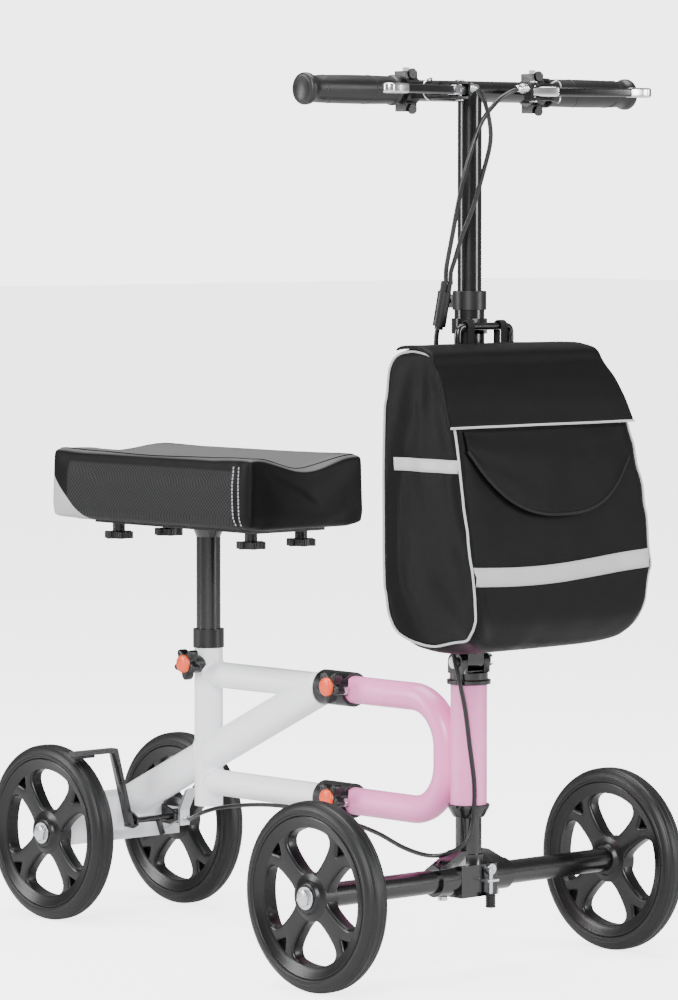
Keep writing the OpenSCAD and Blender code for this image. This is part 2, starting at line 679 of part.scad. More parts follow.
module at_pad_knobs() for (x = [-1, 1]) for (y = [pad_knob_front, pad_knob_rear])
    translate([x * pad_knob_x, y, 0]) children();

module seat_plate() color(black) difference() {
    translate([-plate_x, pad_front + 25, plate_z0]) cube([2 * plate_x, 275, plate_t]);
    at_pad_knobs() tube_z(stud_r + run_gap, plate_z0 - 1, plate_z1 + 1);
}

// Rounded rectangle of sides w and l, centred
module round_rect(w, l, r) hull() for (x = [-1, 1]) for (y = [-1, 1])
    translate([x * (w / 2 - r), y * (l / 2 - r)]) circle(r = r);

module seat_pad() color(dark) translate([0, pad_front + pad_l / 2, pad_z0]) intersection() {
    linear_extrude(pad_h) round_rect(pad_w, pad_l, pad_round + 8);
    translate([pad_w / 2 + 1, 0, pad_h / 2]) rotate([0, -90, 0]) linear_extrude(pad_w + 2)
        round_rect(pad_h, pad_l, pad_round + 2);
    translate([0, pad_l / 2 + 1, pad_h / 2]) rotate([90, 0, 0]) linear_extrude(pad_l + 2)
        round_rect(pad_w, pad_h, pad_round);
}

module pad_knob(x, y) color(black) translate([x * pad_knob_x, y, plate_z0]) {
    tube_z(stud_r, -4, plate_t);
    tube_z(7, -10, -face_gap);
    translate([0, 0, -10 - pad_knob_t]) linear_extrude(pad_knob_t) {
        circle(r = pad_knob_r - 4);
        for (a = [0:60:300]) rotate(a) translate([pad_knob_r - 4, 0]) circle(r = 4, $fn = 32);
    }
}

module pad_knob_front_left() pad_knob(1, pad_knob_front);

module pad_knob_front_right() pad_knob(-1, pad_knob_front);

module pad_knob_rear_left() pad_knob(1, pad_knob_rear);

module pad_knob_rear_right() pad_knob(-1, pad_knob_rear);

// Five-lobed clamp knob facing -X, with a round cap; tip is the stud's inner end
module star_knob(tip) {
    translate([-boss_end - face_gap - knob_t, 0, 0]) rotate([0, 90, 0]) linear_extrude(knob_t) {
        circle(r = 12.5);
        for (a = [36:72:324]) rotate(a) translate([knob_r - 5.5, 0]) circle(r = 5.5, $fn = 32);
    }
    tube_x(cap_r, -boss_end - face_gap - knob_t - cap_t, -boss_end - face_gap - knob_t);
    tube_x(stud_r, -boss_end - 1, -tip);
}

module star_knob_upper() color(orange) translate([0, knob_y, top_z + knob_rise])
    star_knob(loop_d / 2 + 0.3);

module star_knob_lower() color(orange) translate([0, knob_y, low_z + knob_rise])
    star_knob(loop_d / 2 + 0.3);

module star_knob_seat() color(orange) translate([0, seat_y, seat_knob_z]) star_knob(post_d / 2 + 0.3);

// ---------- rear brake ----------

// Two lugs on the rear box that carry the brake's rod, the left one with the return spring's barrel
module brake_bracket() color(black) {
    for (x = [-24, 32]) translate([x, 0, 0]) difference() {
        plate_yz([[box_y0, axle_z + 4], [box_y0, axle_z + 26], [brake_y, brake_z + 9], [brake_y - 8, brake_z + 4],
            [brake_y - 8, brake_z - 5], [brake_y, brake_z - 9]], 0, 3);
        translate([0, brake_y, brake_z]) tube_x(brake_rod_r + run_gap, -1, 4);
    }
    translate([35, brake_y, brake_z]) ring_x(8.5, brake_rod_r + run_gap, 0, 9);
}

// Zinc plate under the slanted tube that holds the end of the cable's housing
module cable_stop() color(silver) difference() {
    translate([0, seat_y, 0]) plate_yz([[44, slant_under(44) - 0.2], [50, slant_under(50) - 0.2],
        [62, stop_z + 12], [62, stop_z - 8], [58, stop_z - 8], [58, stop_z + 10]], crank_x - 7, crank_x + 7);
    translate([crank_x, seat_y + 60, stop_z]) rotate([90, 0, 0]) cylinder(r = 1.5, h = 40, center = true);
}

// Bare end of the cable, from the stop to the crank
module brake_wire() color(silver) cable(wire_route, 1.6, 12);

module brake_arm() color(black) {
    translate([0, brake_y, brake_z]) {
        tube_x(brake_rod_r, -32, 44.5);
        translate([crank_x - 2, 0, 0]) rotate([-25, 0, 0]) translate([0, -3, -20]) cube([4, 6, 20]);
    }
    // strip that leans outwards as it rises, then runs level over the tyre
    foot_z = brake_z - 4.5;
    top = shoe_z + 3 + strip_t;
    lean = 24 / (top - foot_z);
    end_x = -rear_track / 2 - 16;
    translate([0, brake_y + strip_w / 2, 0]) rotate([90, 0, 0]) linear_extrude(strip_w)
        polygon([[-26, foot_z], [-50, top], [end_x, top], [end_x, shoe_z + 3],
            [-31 - lean * (shoe_z + 3 - foot_z), shoe_z + 3], [-31, foot_z]]);
}

module brake_pad() color(dark)
    translate([-rear_track / 2 - 13, brake_y - strip_w / 2, shoe_z]) cube([26, strip_w, 3]);

module cable_left() color(black) cable(left_route, cable_d, 13);

module cable_right() color(black) cable(right_route, cable_d, 13);

module cable_rear() color(black) cable(rear_route, cable_d, 16);

front_frame();
rear_frame();
couplers();
headset_cups();
headset_bearings();
seat_clamp();
rear_axle();
frame_fasteners();
brake_bracket();
cable_stop();
brake_wire();
steerer_tube();
axle_clamp();
front_axle();
fold_bracket();
fold_bolt();
front_fasteners();
axle_lock_pin();
fold_lever();
column_tube();
height_collar();
bag_hanger();
bag();
cable_splitter();
stem_tube();
handlebar();
grips();
lever_brackets();
cable_adjusters();
brake_lever_left();
brake_lever_right();
lock_button_left();
lock_button_right();
tyre_front_left();
tyre_front_right();
tyre_rear_left();
tyre_rear_right();
wheel_front_left();
wheel_front_right();
wheel_rear_left();
wheel_rear_right();
bearings_front_left();
bearings_front_right();
bearings_rear_left();
bearings_rear_right();
seat_post();
seat_plate();
seat_pad();
pad_knob_front_left();
pad_knob_front_right();
pad_knob_rear_left();
pad_knob_rear_right();
star_knob_upper();
star_knob_lower();
star_knob_seat();
brake_arm();
brake_pad();
cable_left();
cable_right();
cable_rear();
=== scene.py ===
import json
import math

import bmesh
import bpy
from bpy.props import FloatProperty, FloatVectorProperty, IntProperty, PointerProperty
from mathutils import Matrix, Vector, noise
from mathutils.bvhtree import BVHTree
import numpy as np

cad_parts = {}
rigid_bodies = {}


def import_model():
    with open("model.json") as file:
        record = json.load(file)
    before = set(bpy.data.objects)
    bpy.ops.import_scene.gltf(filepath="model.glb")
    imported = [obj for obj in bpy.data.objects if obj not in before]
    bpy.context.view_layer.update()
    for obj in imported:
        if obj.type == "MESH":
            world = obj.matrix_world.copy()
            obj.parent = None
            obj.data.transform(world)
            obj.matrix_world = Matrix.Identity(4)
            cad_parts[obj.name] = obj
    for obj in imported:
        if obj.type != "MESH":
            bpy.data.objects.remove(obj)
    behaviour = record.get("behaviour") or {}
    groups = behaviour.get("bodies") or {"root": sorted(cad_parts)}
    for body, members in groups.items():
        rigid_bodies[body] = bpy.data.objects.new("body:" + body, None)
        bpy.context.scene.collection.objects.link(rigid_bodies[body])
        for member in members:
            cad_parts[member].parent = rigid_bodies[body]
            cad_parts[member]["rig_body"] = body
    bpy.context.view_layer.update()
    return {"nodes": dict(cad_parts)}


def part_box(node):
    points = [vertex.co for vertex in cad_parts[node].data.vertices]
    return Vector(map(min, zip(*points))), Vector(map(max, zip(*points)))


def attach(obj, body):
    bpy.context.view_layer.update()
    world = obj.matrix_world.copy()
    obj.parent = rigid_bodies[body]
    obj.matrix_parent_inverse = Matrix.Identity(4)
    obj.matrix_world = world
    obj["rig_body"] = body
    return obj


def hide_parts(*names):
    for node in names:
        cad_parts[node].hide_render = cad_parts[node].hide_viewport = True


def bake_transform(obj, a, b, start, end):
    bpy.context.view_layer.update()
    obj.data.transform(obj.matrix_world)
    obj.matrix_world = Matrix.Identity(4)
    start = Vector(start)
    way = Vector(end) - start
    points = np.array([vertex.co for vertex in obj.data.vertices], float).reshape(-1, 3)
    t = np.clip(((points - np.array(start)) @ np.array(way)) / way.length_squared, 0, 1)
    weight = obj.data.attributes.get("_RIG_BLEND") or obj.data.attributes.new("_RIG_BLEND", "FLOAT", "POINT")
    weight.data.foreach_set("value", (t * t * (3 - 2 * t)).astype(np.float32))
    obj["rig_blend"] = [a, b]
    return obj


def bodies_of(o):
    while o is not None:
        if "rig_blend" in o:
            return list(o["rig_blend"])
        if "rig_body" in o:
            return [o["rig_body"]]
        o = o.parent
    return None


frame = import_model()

bl_info = {
    "name": "Knee Scooter",
    "version": (1, 0, 0),
    "blender": (4, 5, 0),
    "location": "3D View > Sidebar > Scooter",
    "description": "Builds the wheels, pad, bag, bar, cables and finishes of a knee scooter round its frame",
    "category": "Object",
}

NODES = frame["nodes"]
MM = 0.001


def middle(node):
    low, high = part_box(node)
    return (low + high) / 2


STEER_Y = middle("front_axle").y
BAR_Z = middle("handlebar").z
SIDES = {"left": 1, "right": -1}
CORNERS = ("front_left", "front_right", "rear_left", "rear_right")
BLACK = (0.003, 0.003, 0.0035)
DARK_DUST = (0.05, 0.05, 0.05)
# the brake levers' pivots and the bag hanger's rod, in millimetres
PIVOT_X, PIVOT_AHEAD = 54, 41
ROD_Z, STRAP_X = 687, 24
# turns a flat form's X and Y into Y and Z, so that it stands across the X axis
UPRIGHT = Matrix(((0, 0, 1, 0), (1, 0, 0, 0), (0, 1, 0, 0), (0, 0, 0, 1)))


def from_axis(x, y, z):
    """A point in millimetres from the steering axis at ground level, as a vector in metres."""
    return Vector((x * MM, STEER_Y + y * MM, z * MM))


# ---------- settings ----------


class ScooterSizes(bpy.types.PropertyGroup):
    """Sizes of the soft and moulded pieces"""

    pad_voxel: FloatProperty(
        name="Pad detail", description="Size of the cells the knee pad is simulated with",
        default=0.005, min=0.004, max=0.008, unit="LENGTH", subtype="DISTANCE")
    pad_trough: FloatProperty(
        name="Pad trough", description="Depth of the groove along the middle of the knee pad",
        default=0.013, min=0.0, max=0.03, unit="LENGTH", subtype="DISTANCE")
    bag_voxel: FloatProperty(
        name="Bag detail", description="Size of the cells the bag is simulated with",
        default=0.006, min=0.004, max=0.01, unit="LENGTH", subtype="DISTANCE")
    bag_folds: FloatProperty(
        name="Bag folds", description="Depth of the folds in the bag's sides",
        default=0.0048, min=0.0, max=0.01, unit="LENGTH", subtype="DISTANCE")
    steps: IntProperty(
        name="Simulation steps", description="Frames that the cloth is simulated for", default=20, min=5,
        max=40)
    edge: FloatProperty(
        name="Edge rounding", description="Rounding of the edges of the metal and moulded pieces",
        default=0.0007, min=0.0002, max=0.002, unit="LENGTH", subtype="DISTANCE")


class ScooterColours(bpy.types.PropertyGroup):
    """Colours of the scooter's finishes"""

    pink: FloatVectorProperty(
        name="Loop paint", description="Colour of the looped front frame", subtype="COLOR", size=3,
        default=(0.92, 0.25, 0.56), min=0, max=1)
    white: FloatVectorProperty(
        name="Rear frame paint", description="Colour of the rear frame", subtype="COLOR", size=3,
        default=(0.92, 0.93, 0.96), min=0, max=1)
    orange: FloatVectorProperty(
        name="Knob caps", description="Colour of the knob caps", subtype="COLOR", size=3,
        default=(0.82, 0.07, 0.006), min=0, max=1)
    reflective: FloatVectorProperty(
        name="Reflective trim", description="Colour of the bag's piping and bands", subtype="COLOR", size=3,
        default=(0.36, 0.36, 0.37), min=0, max=1)


def sizes():
    return bpy.context.scene.scooter_sizes


def colours():
    return bpy.context.scene.scooter_colours


# ---------- node helpers ----------


def add_node(tree, kind, inputs=None, **settings):
    """A shader node with its settings and inputs; an input is a number, a colour or another node's output."""
    made = tree.nodes.new(kind)
    for key, value in settings.items():
        setattr(made, key, value)
    for key, value in (inputs or {}).items():
        if isinstance(value, bpy.types.NodeSocket):
            tree.links.new(value, made.inputs[key])
        else:
            made.inputs[key].default_value = value
    return made


def maths(tree, operation, first, second=None, third=None, clamp=False):
    values = {i: v for i, v in enumerate((first, second, third)) if v is not None}
    return add_node(tree, "ShaderNodeMath", values, operation=operation, use_clamp=clamp).outputs[0]


def ramp(tree, value, low, high, start=0.0, end=1.0):
    made = add_node(tree, "ShaderNodeMapRange", {"Value": value, "From Min": low, "From Max": high,
                                                 "To Min": start, "To Max": end})
    return made.outputs[0]


def blend_colour(tree, factor, first, second):
    made = add_node(tree, "ShaderNodeMix", {0: factor, 6: first, 7: second}, data_type="RGBA")
    return made.outputs[2]


def noise_of(tree, vector, scale, detail=3.0, rough=0.55):
    return add_node(tree, "ShaderNodeTexNoise", {"Vector": vector, "Scale": scale, "Detail": detail,
                                                 "Roughness": rough}).outputs[0]


def new_group(name, inputs, outputs):
    tree = bpy.data.node_groups.new(name, "ShaderNodeTree")
    for label, default in inputs:
        kind = "NodeSocketVector" if default is None else "NodeSocketFloat"
        socket = tree.interface.new_socket(name=label, in_out="INPUT", socket_type=kind)
        if default is not None:
            socket.default_value = default
    for label in outputs:
        tree.interface.new_socket(name=label, in_out="OUTPUT", socket_type="NodeSocketFloat")
    start, end = tree.nodes.new("NodeGroupInput"), tree.nodes.new("NodeGroupOutput")
    return tree, start.outputs, end.inputs


def surface_grain():
    """Fine unevenness of paint, moulded plastic and rubber."""
    tree, start, end = new_group("Surface Grain", [("Vector", None), ("Scale", 400.0)], ["Height"])
    coarse = noise_of(tree, start["Vector"], start["Scale"], 4, 0.6)
    fine = noise_of(tree, start["Vector"], maths(tree, "MULTIPLY", start["Scale"], 4.3), 2)
    tree.links.new(maths(tree, "MULTIPLY_ADD", fine, 0.35, coarse), end["Height"])
    return tree


def mottling():
    """Slow change of tone over a surface."""
    tree, start, end = new_group("Mottling", [("Vector", None), ("Scale", 14.0)], ["Value"])
    tone = noise_of(tree, start["Vector"], start["Scale"], 5, 0.6)
    tree.links.new(ramp(tree, tone, 0.3, 0.7), end["Value"])
    return tree


def edge_wear():
    """Where corners are rubbed: high spots of the form, broken up."""
    tree, start, end = new_group("Edge Wear", [("Vector", None), ("Amount", 0.2)], ["Mask"])
    point = add_node(tree, "ShaderNodeNewGeometry").outputs["Pointiness"]
    edge = ramp(tree, point, 0.53, 0.62)
    patchy = ramp(tree, noise_of(tree, start["Vector"], 90.0, 6, 0.7), 0.45, 0.62)
    both = maths(tree, "MULTIPLY", edge, patchy)
    tree.links.new(maths(tree, "MULTIPLY", both, start["Amount"], clamp=True), end["Mask"])
    return tree


def settled_dust():
    """A thin veil on what faces up."""
    tree, start, end = new_group("Settled Dust", [("Vector", None), ("Amount", 0.1)], ["Mask"])
    normal = add_node(tree, "ShaderNodeNewGeometry").outputs["Normal"]
    up = ramp(tree, add_node(tree, "ShaderNodeSeparateXYZ", {0: normal}).outputs["Z"], 0.35, 1.0)
    cloudy = ramp(tree, noise_of(tree, start["Vector"], 26.0, 6, 0.65), 0.4, 0.75)
    both = maths(tree, "MULTIPLY", up, cloudy)
    tree.links.new(maths(tree, "MULTIPLY", both, start["Amount"], clamp=True), end["Mask"])
    return tree


def upright_cloth(tree, vector):
    """Across and up on walls that face along X or Y."""
    parts = add_node(tree, "ShaderNodeSeparateXYZ", {0: vector}).outputs
    return maths(tree, "ADD", parts["X"], parts["Y"]), parts["Z"]


def woven(diagonal):
    """Threads over and under each other, upright or at 45 degrees, on walls that face along X or Y."""
    name = "Diagonal Weave" if diagonal else "Plain Weave"
    tree, start, end = new_group(name, [("Vector", None), ("Pitch", 0.001)], ["Height", "Thread"])
    across, up = upright_cloth(tree, start["Vector"])
    if diagonal:
        across, up = maths(tree, "ADD", across, up), maths(tree, "SUBTRACT", across, up)
    turns = maths(tree, "DIVIDE", math.pi, start["Pitch"])
    a = maths(tree, "SINE", maths(tree, "MULTIPLY", across, turns))
    b = maths(tree, "SINE", maths(tree, "MULTIPLY", up, turns))
    over = ramp(tree, maths(tree, "MULTIPLY", a, b), -0.25, 0.25)
    warp = maths(tree, "MULTIPLY", maths(tree, "ABSOLUTE", a), over)
    weft = maths(tree, "MULTIPLY", maths(tree, "ABSOLUTE", b), maths(tree, "SUBTRACT", 1.0, over))
    tree.links.new(maths(tree, "ADD", warp, weft), end["Height"])
    tree.links.new(over, end["Thread"])
    return tree


def leather_creases():
    """Pebbled grain of coated cloth."""
    tree, start, end = new_group("Leather Grain", [("Vector", None), ("Scale", 700.0)], ["Height"])
    cells = add_node(tree, "ShaderNodeTexVoronoi", {"Vector": start["Vector"], "Scale": start["Scale"]},
                     feature="F1").outputs["Distance"]
    soft = noise_of(tree, start["Vector"], maths(tree, "MULTIPLY", start["Scale"], 0.3), 4)
    tree.links.new(maths(tree, "MULTIPLY_ADD", soft, 0.8, cells), end["Height"])
    return tree


GROUPS = {}


def use_group(tree, key, inputs):
    """A shared node group placed in a material with its own values."""
    if key not in GROUPS:
        GROUPS[key] = {
            "grain": surface_grain, "mottle": mottling, "wear": edge_wear, "dust": settled_dust,
            "twill": lambda: woven(True), "plain": lambda: woven(False), "leather": leather_creases,
        }[key]()
    made = tree.nodes.new("ShaderNodeGroup")
    made.node_tree = GROUPS[key]
    for name, value in inputs.items():
        if isinstance(value, bpy.types.NodeSocket):
            tree.links.new(value, made.inputs[name])
        else:
            made.inputs[name].default_value = value
    return made.outputs


# ---------- finishes ----------

FINISHES = {}


def new_material(name):
    material = bpy.data.materials.new(name)
    material.use_nodes = True
    tree = material.node_tree
    shader = tree.nodes["Principled BSDF"] if "Principled BSDF" in tree.nodes else None
    if shader is None:
        shader = tree.nodes.new("ShaderNodeBsdfPrincipled")
        out = tree.nodes.new("ShaderNodeOutputMaterial")
        tree.links.new(shader.outputs[0], out.inputs[0])
    return material, tree, shader, add_node(tree, "ShaderNodeTexCoord").outputs["Object"]


def rgba(colour, share=1.0):
    return tuple(min(1.0, c * share) for c in colour) + (1.0,)


def set_shader(shader, **values):
    names = {"metallic": "Metallic", "coat": "Coat Weight", "coat_rough": "Coat Roughness",
             "sheen": "Sheen Weight", "sheen_rough": "Sheen Roughness", "specular": "Specular IOR Level",
             "transmission": "Transmission Weight", "ior": "IOR", "subsurface": "Subsurface Weight"}
    for key, value in values.items():
        shader.inputs[names[key]].default_value = value


def hard_finish(name, colour, rough, grain=350.0, bump=0.00002, variation=0.08, wear=0.15,
                wear_colour=(0.3, 0.3, 0.3), dust=0.05, dust_colour=(0.5, 0.5, 0.5), stretch=(1, 1, 1),
                **shader_values):
    """Paint, plastic, rubber or metal: mottled tone, rubbed edges, a little dust and a fine grain."""
    if name in FINISHES:
        return FINISHES[name]
    material, tree, shader, place = new_material(name)
    tone = use_group(tree, "mottle", {"Vector": place, "Scale": 16.0})["Value"]
    rubbed = use_group(tree, "wear", {"Vector": place, "Amount": wear})["Mask"]
    veil = use_group(tree, "dust", {"Vector": place, "Amount": dust})["Mask"]
    base = blend_colour(tree, tone, rgba(colour, 1 - variation), rgba(colour, 1 + variation))
    base = blend_colour(tree, rubbed, base, rgba(wear_colour))
    base = blend_colour(tree, veil, base, rgba(dust_colour))
    tree.links.new(base, shader.inputs["Base Color"])
    uneven = ramp(tree, tone, 0, 1, rough * 0.86, min(1.0, rough * 1.14))
    tree.links.new(maths(tree, "MULTIPLY_ADD", veil, 0.3, uneven, clamp=True), shader.inputs["Roughness"])
    turned = add_node(tree, "ShaderNodeMapping", {"Vector": place, "Scale": stretch}).outputs[0]
    height = use_group(tree, "grain", {"Vector": turned, "Scale": grain})["Height"]
    bumped = add_node(tree, "ShaderNodeBump", {"Strength": 1.0, "Distance": bump, "Height": height})
    tree.links.new(bumped.outputs[0], shader.inputs["Normal"])
    set_shader(shader, **shader_values)
    FINISHES[name] = material
    return material


def box_mask(tree, place, ranges, soft=0.0012):
    """1 inside a box given as (axis, low, high), with soft edges."""
    parts = add_node(tree, "ShaderNodeSeparateXYZ", {0: place}).outputs
    mask = None
    for axis, low, high in ranges:
        value = maths(tree, "ABSOLUTE", parts["X"]) if axis == "|X|" else parts[axis]
        inside = maths(tree, "MULTIPLY", ramp(tree, value, low - soft, low + soft),
                       ramp(tree, value, high - soft, high + soft, 1.0, 0.0))
        mask = inside if mask is None else maths(tree, "MULTIPLY", mask, inside)
    return mask


def pink_paint():
    return hard_finish("Pink paint", colours().pink, 0.34, grain=240, bump=0.000012, variation=0.025,
                       wear=0.1, wear_colour=(0.95, 0.7, 0.84), dust=0.02, coat=0.35, coat_rough=0.2)


def white_paint():
    return hard_finish("White paint", colours().white, 0.36, grain=240, bump=0.000012, variation=0.02,
                       wear=0.15, wear_colour=(0.75, 0.76, 0.8), dust=0.03, dust_colour=(0.72, 0.72, 0.74),
                       coat=0.3, coat_rough=0.22)


def black_paint():
    return hard_finish("Black paint", BLACK, 0.22, grain=300, bump=0.00001, variation=0.2, wear=0.08,
                       wear_colour=(0.03, 0.03, 0.032), dust=0.02, dust_colour=(0.06, 0.06, 0.06), coat=0.35,
                       coat_rough=0.09)


def black_plastic():
    return hard_finish("Black plastic", BLACK, 0.36, grain=900, bump=0.00003, variation=0.2, wear=0.2,
                       wear_colour=(0.035, 0.035, 0.035), dust=0.04, dust_colour=DARK_DUST)


def wheel_plastic():
    return hard_finish("Wheel plastic", BLACK, 0.3, grain=1100, bump=0.000028, variation=0.22, wear=0.2,
                       wear_colour=(0.035, 0.035, 0.037), dust=0.05, dust_colour=(0.06, 0.06, 0.06),
                       specular=0.4)


def tyre_rubber():
    return hard_finish("Tyre rubber", (0.005, 0.005, 0.0055), 0.42, grain=1400, bump=0.00006,
                       variation=0.22, wear=0.4, wear_colour=(0.04, 0.039, 0.038), dust=0.12,
                       dust_colour=(0.03, 0.029, 0.028), specular=0.4)


def grip_rubber():
    return hard_finish("Grip rubber", (0.004, 0.004, 0.0045), 0.38, grain=1500, bump=0.00005, variation=0.2,
                       wear=0.2, wear_colour=(0.03, 0.03, 0.03), dust=0.05, dust_colour=DARK_DUST,
                       specular=0.5)


def cable_cover():
    return hard_finish("Cable cover", (0.006, 0.006, 0.0065), 0.3, grain=1600, bump=0.00003, variation=0.15,
                       wear=0.1, wear_colour=(0.02, 0.02, 0.02), dust=0.04, dust_colour=DARK_DUST)


def zinc():
    return hard_finish("Zinc plating", (0.62, 0.63, 0.65), 0.3, grain=500, bump=0.00003, variation=0.14,
                       wear=0.3, wear_colour=(0.85, 0.85, 0.86), dust=0.05, metallic=1.0)


def alloy():
    return hard_finish("Polished alloy", (0.7, 0.7, 0.72), 0.22, grain=260, bump=0.00002, variation=0.1,
                       wear=0.3, wear_colour=(0.9, 0.9, 0.9), dust=0.02, stretch=(1, 9, 9), metallic=1.0)


def knob_orange():
    return hard_finish("Orange cap", colours().orange, 0.35, grain=800, bump=0.00002, variation=0.06,
                       wear=0.2, wear_colour=(0.95, 0.4, 0.2), dust=0.04, coat=0.2, coat_rough=0.2)


def clear_plastic():
    return hard_finish("Clear button", (0.86, 0.88, 0.9), 0.18, grain=700, bump=0.00001, variation=0.04,
                       wear=0.1, wear_colour=(1, 1, 1), dust=0.02, transmission=0.6, ior=1.46)


def weld_bead(name, colour):
    return hard_finish(name, colour, 0.42, grain=420, bump=0.00012, variation=0.05, wear=0.2,
                       wear_colour=colour, dust=0.05, coat=0.2, coat_rough=0.25)


def cloth_finish(name, colour, weave, pitch, rough, bump, light, sheen=0.0, variation=0.15, coat=0.0,
                 specular=0.25):
    """Woven cloth whose raised threads are painted lighter than the gaps, a painted highlight for the light
    they catch.
    """
    if name in FINISHES:
        return FINISHES[name]
    material, tree, shader, place = new_material(name)
    threads = use_group(tree, weave, {"Vector": place, "Pitch": pitch})
    tone = use_group(tree, "mottle", {"Vector": place, "Scale": 22.0})["Value"]
    veil = use_group(tree, "dust", {"Vector": place, "Amount": 0.06})["Mask"]
    base = blend_colour(tree, tone, rgba(colour, 1 - variation), rgba(colour, 1 + variation))
    # painted highlight: raised threads are painted towards the light colour, while the gaps stay darker as
    # painted shade
    base = blend_colour(tree, maths(tree, "MULTIPLY", threads["Height"], 0.6), base, rgba(light))
    base = blend_colour(tree, veil, base, rgba(light, 1.6))
    tree.links.new(base, shader.inputs["Base Color"])
    tree.links.new(ramp(tree, threads["Height"], 0, 1, min(1.0, rough * 1.2), rough * 0.85),
                   shader.inputs["Roughness"])
    creases = use_group(tree, "grain", {"Vector": place, "Scale": 60.0})["Height"]
    height = maths(tree, "MULTIPLY_ADD", creases, 0.8, threads["Height"])
    bumped = add_node(tree, "ShaderNodeBump", {"Strength": 1.0, "Distance": bump, "Height": height})
    tree.links.new(bumped.outputs[0], shader.inputs["Normal"])
    set_shader(shader, sheen=sheen, sheen_rough=0.5, coat=coat, coat_rough=0.35, specular=specular)
    FINISHES[name] = material
    return material


def bag_cloth():
    return cloth_finish("Bag nylon", (0.002, 0.002, 0.0024), "plain", 0.0009, 0.48, 0.00008,
                        (0.006, 0.006, 0.0066), specular=0.12)


def lining_cloth():
    return cloth_finish("Bag binding", (0.005, 0.005, 0.0055), "twill", 0.0014, 0.7, 0.0001,
                        (0.014, 0.014, 0.014))


def reflective_tape():
    return cloth_finish("Reflective tape", colours().reflective, "twill", 0.0022, 0.34, 0.00008,
                        (0.56, 0.56, 0.58), sheen=0.0, variation=0.05, coat=0.25)


def thread_finish():
    return cloth_finish("Stitching thread", (0.3, 0.3, 0.32), "twill", 0.0006, 0.6, 0.00005,
                        (0.42, 0.42, 0.45))


def pad_cover():
    """The knee pad's cover: woven sides with a painted highlight on the raised threads, smooth bands and top
    with a painted sheen where they face up, and a grey corner at the rear.
    """
    if "Pad cover" in FINISHES:
        return FINISHES["Pad cover"]
    low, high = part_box("seat_pad")
    material, tree, shader, place = new_material("Pad cover")
    sides = box_mask(tree, place, [("|X|", high.x - 0.022, 1), ("Y", low.y + 0.02, high.y - 0.03),
                                   ("Z", low.z - 1, high.z - 0.013)])
    facing = add_node(tree, "ShaderNodeNewGeometry").outputs["Normal"]
    top = ramp(tree, add_node(tree, "ShaderNodeSeparateXYZ", {0: facing}).outputs["Z"], 0.6, 0.9)
    parts = add_node(tree, "ShaderNodeSeparateXYZ", {0: place}).outputs
    rise = maths(tree, "SUBTRACT", parts["Z"], low.z)
    corner = maths(tree, "ADD", maths(tree, "SUBTRACT", high.y - 0.058, parts["Y"]),
                   maths(tree, "MULTIPLY", rise, 1.15))
    grey = maths(tree, "MULTIPLY", ramp(tree, corner, -0.0006, 0.0006, 1, 0),
                 ramp(tree, maths(tree, "ABSOLUTE", parts["X"]), high.x - 0.04, high.x - 0.038))
    threads = use_group(tree, "twill", {"Vector": place, "Pitch": 0.0048})
    pebble = use_group(tree, "leather", {"Vector": place, "Scale": 900.0})["Height"]
    tone = use_group(tree, "mottle", {"Vector": place, "Scale": 9.0})["Value"]
    veil = use_group(tree, "dust", {"Vector": place, "Amount": 0.1})["Mask"]
    # painted highlight: the raised threads are painted lighter and the gaps stay dark as painted shade
    cloth = blend_colour(tree, threads["Height"], rgba((0.001, 0.001, 0.0012)), rgba((0.03, 0.03, 0.031)))
    smooth = blend_colour(tree, tone, rgba((0.002, 0.002, 0.0024)), rgba((0.004, 0.004, 0.0045)))
    # painted sheen: the smooth cover is painted a lighter grey where it faces up, standing in for the light
    # it catches there
    smooth = blend_colour(tree, maths(tree, "MULTIPLY", top, 0.7), smooth, rgba((0.14, 0.14, 0.142)))
    base = blend_colour(tree, sides, smooth, cloth)
    base = blend_colour(tree, grey, base, rgba((0.42, 0.42, 0.43)))
    base = blend_colour(tree, veil, base, rgba((0.06, 0.06, 0.06)))
    tree.links.new(base, shader.inputs["Base Color"])
    rough = maths(tree, "MULTIPLY_ADD", tone, 0.06, 0.46)
    tree.links.new(maths(tree, "MULTIPLY_ADD", sides, 0.18, rough), shader.inputs["Roughness"])
    weave_height = maths(tree, "MULTIPLY", threads["Height"], maths(tree, "MAXIMUM", sides, grey))
    height = maths(tree, "MULTIPLY_ADD", weave_height, 3.0, maths(tree, "MULTIPLY", pebble, 0.8))
    bumped = add_node(tree, "ShaderNodeBump", {"Strength": 1.0, "Distance": 0.00009, "Height": height})
    tree.links.new(bumped.outputs[0], shader.inputs["Normal"])
    set_shader(shader, sheen=0.0, coat=0.0, specular=0.12)
    FINISHES["Pad cover"] = material
    return material


# ---------- shared shaping ----------


def add_piece(name, source, material, body, replaces=(), sharp=32):
    """A finished piece at the origin, with its place in its mesh, riding on a body."""
    if isinstance(source, bmesh.types.BMesh):
        mesh = bpy.data.meshes.new(name)
        source.to_mesh(mesh)
        source.free()
    else:
        mesh = source
        mesh.name = name
    mesh.materials.clear()
    mesh.materials.append(material)
    mesh.shade_smooth()
    mesh.set_sharp_from_angle(angle=math.radians(sharp))
    piece = bpy.data.objects.new(name, mesh)
    bpy.context.scene.collection.objects.link(piece)
    if body:
        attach(piece, body)
    if replaces:
        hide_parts(*replaces)
    return piece


def body_of(node):
    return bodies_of(NODES[node])[0]


def give_finish(material, *nodes):
    for node in nodes:
        mesh = NODES[node].data
        mesh.materials.clear()
        mesh.materials.append(material)


def settle(bm, dist=1e-6):
    bmesh.ops.remove_doubles(bm, verts=bm.verts[:], dist=dist)
    bmesh.ops.recalc_face_normals(bm, faces=bm.faces[:])


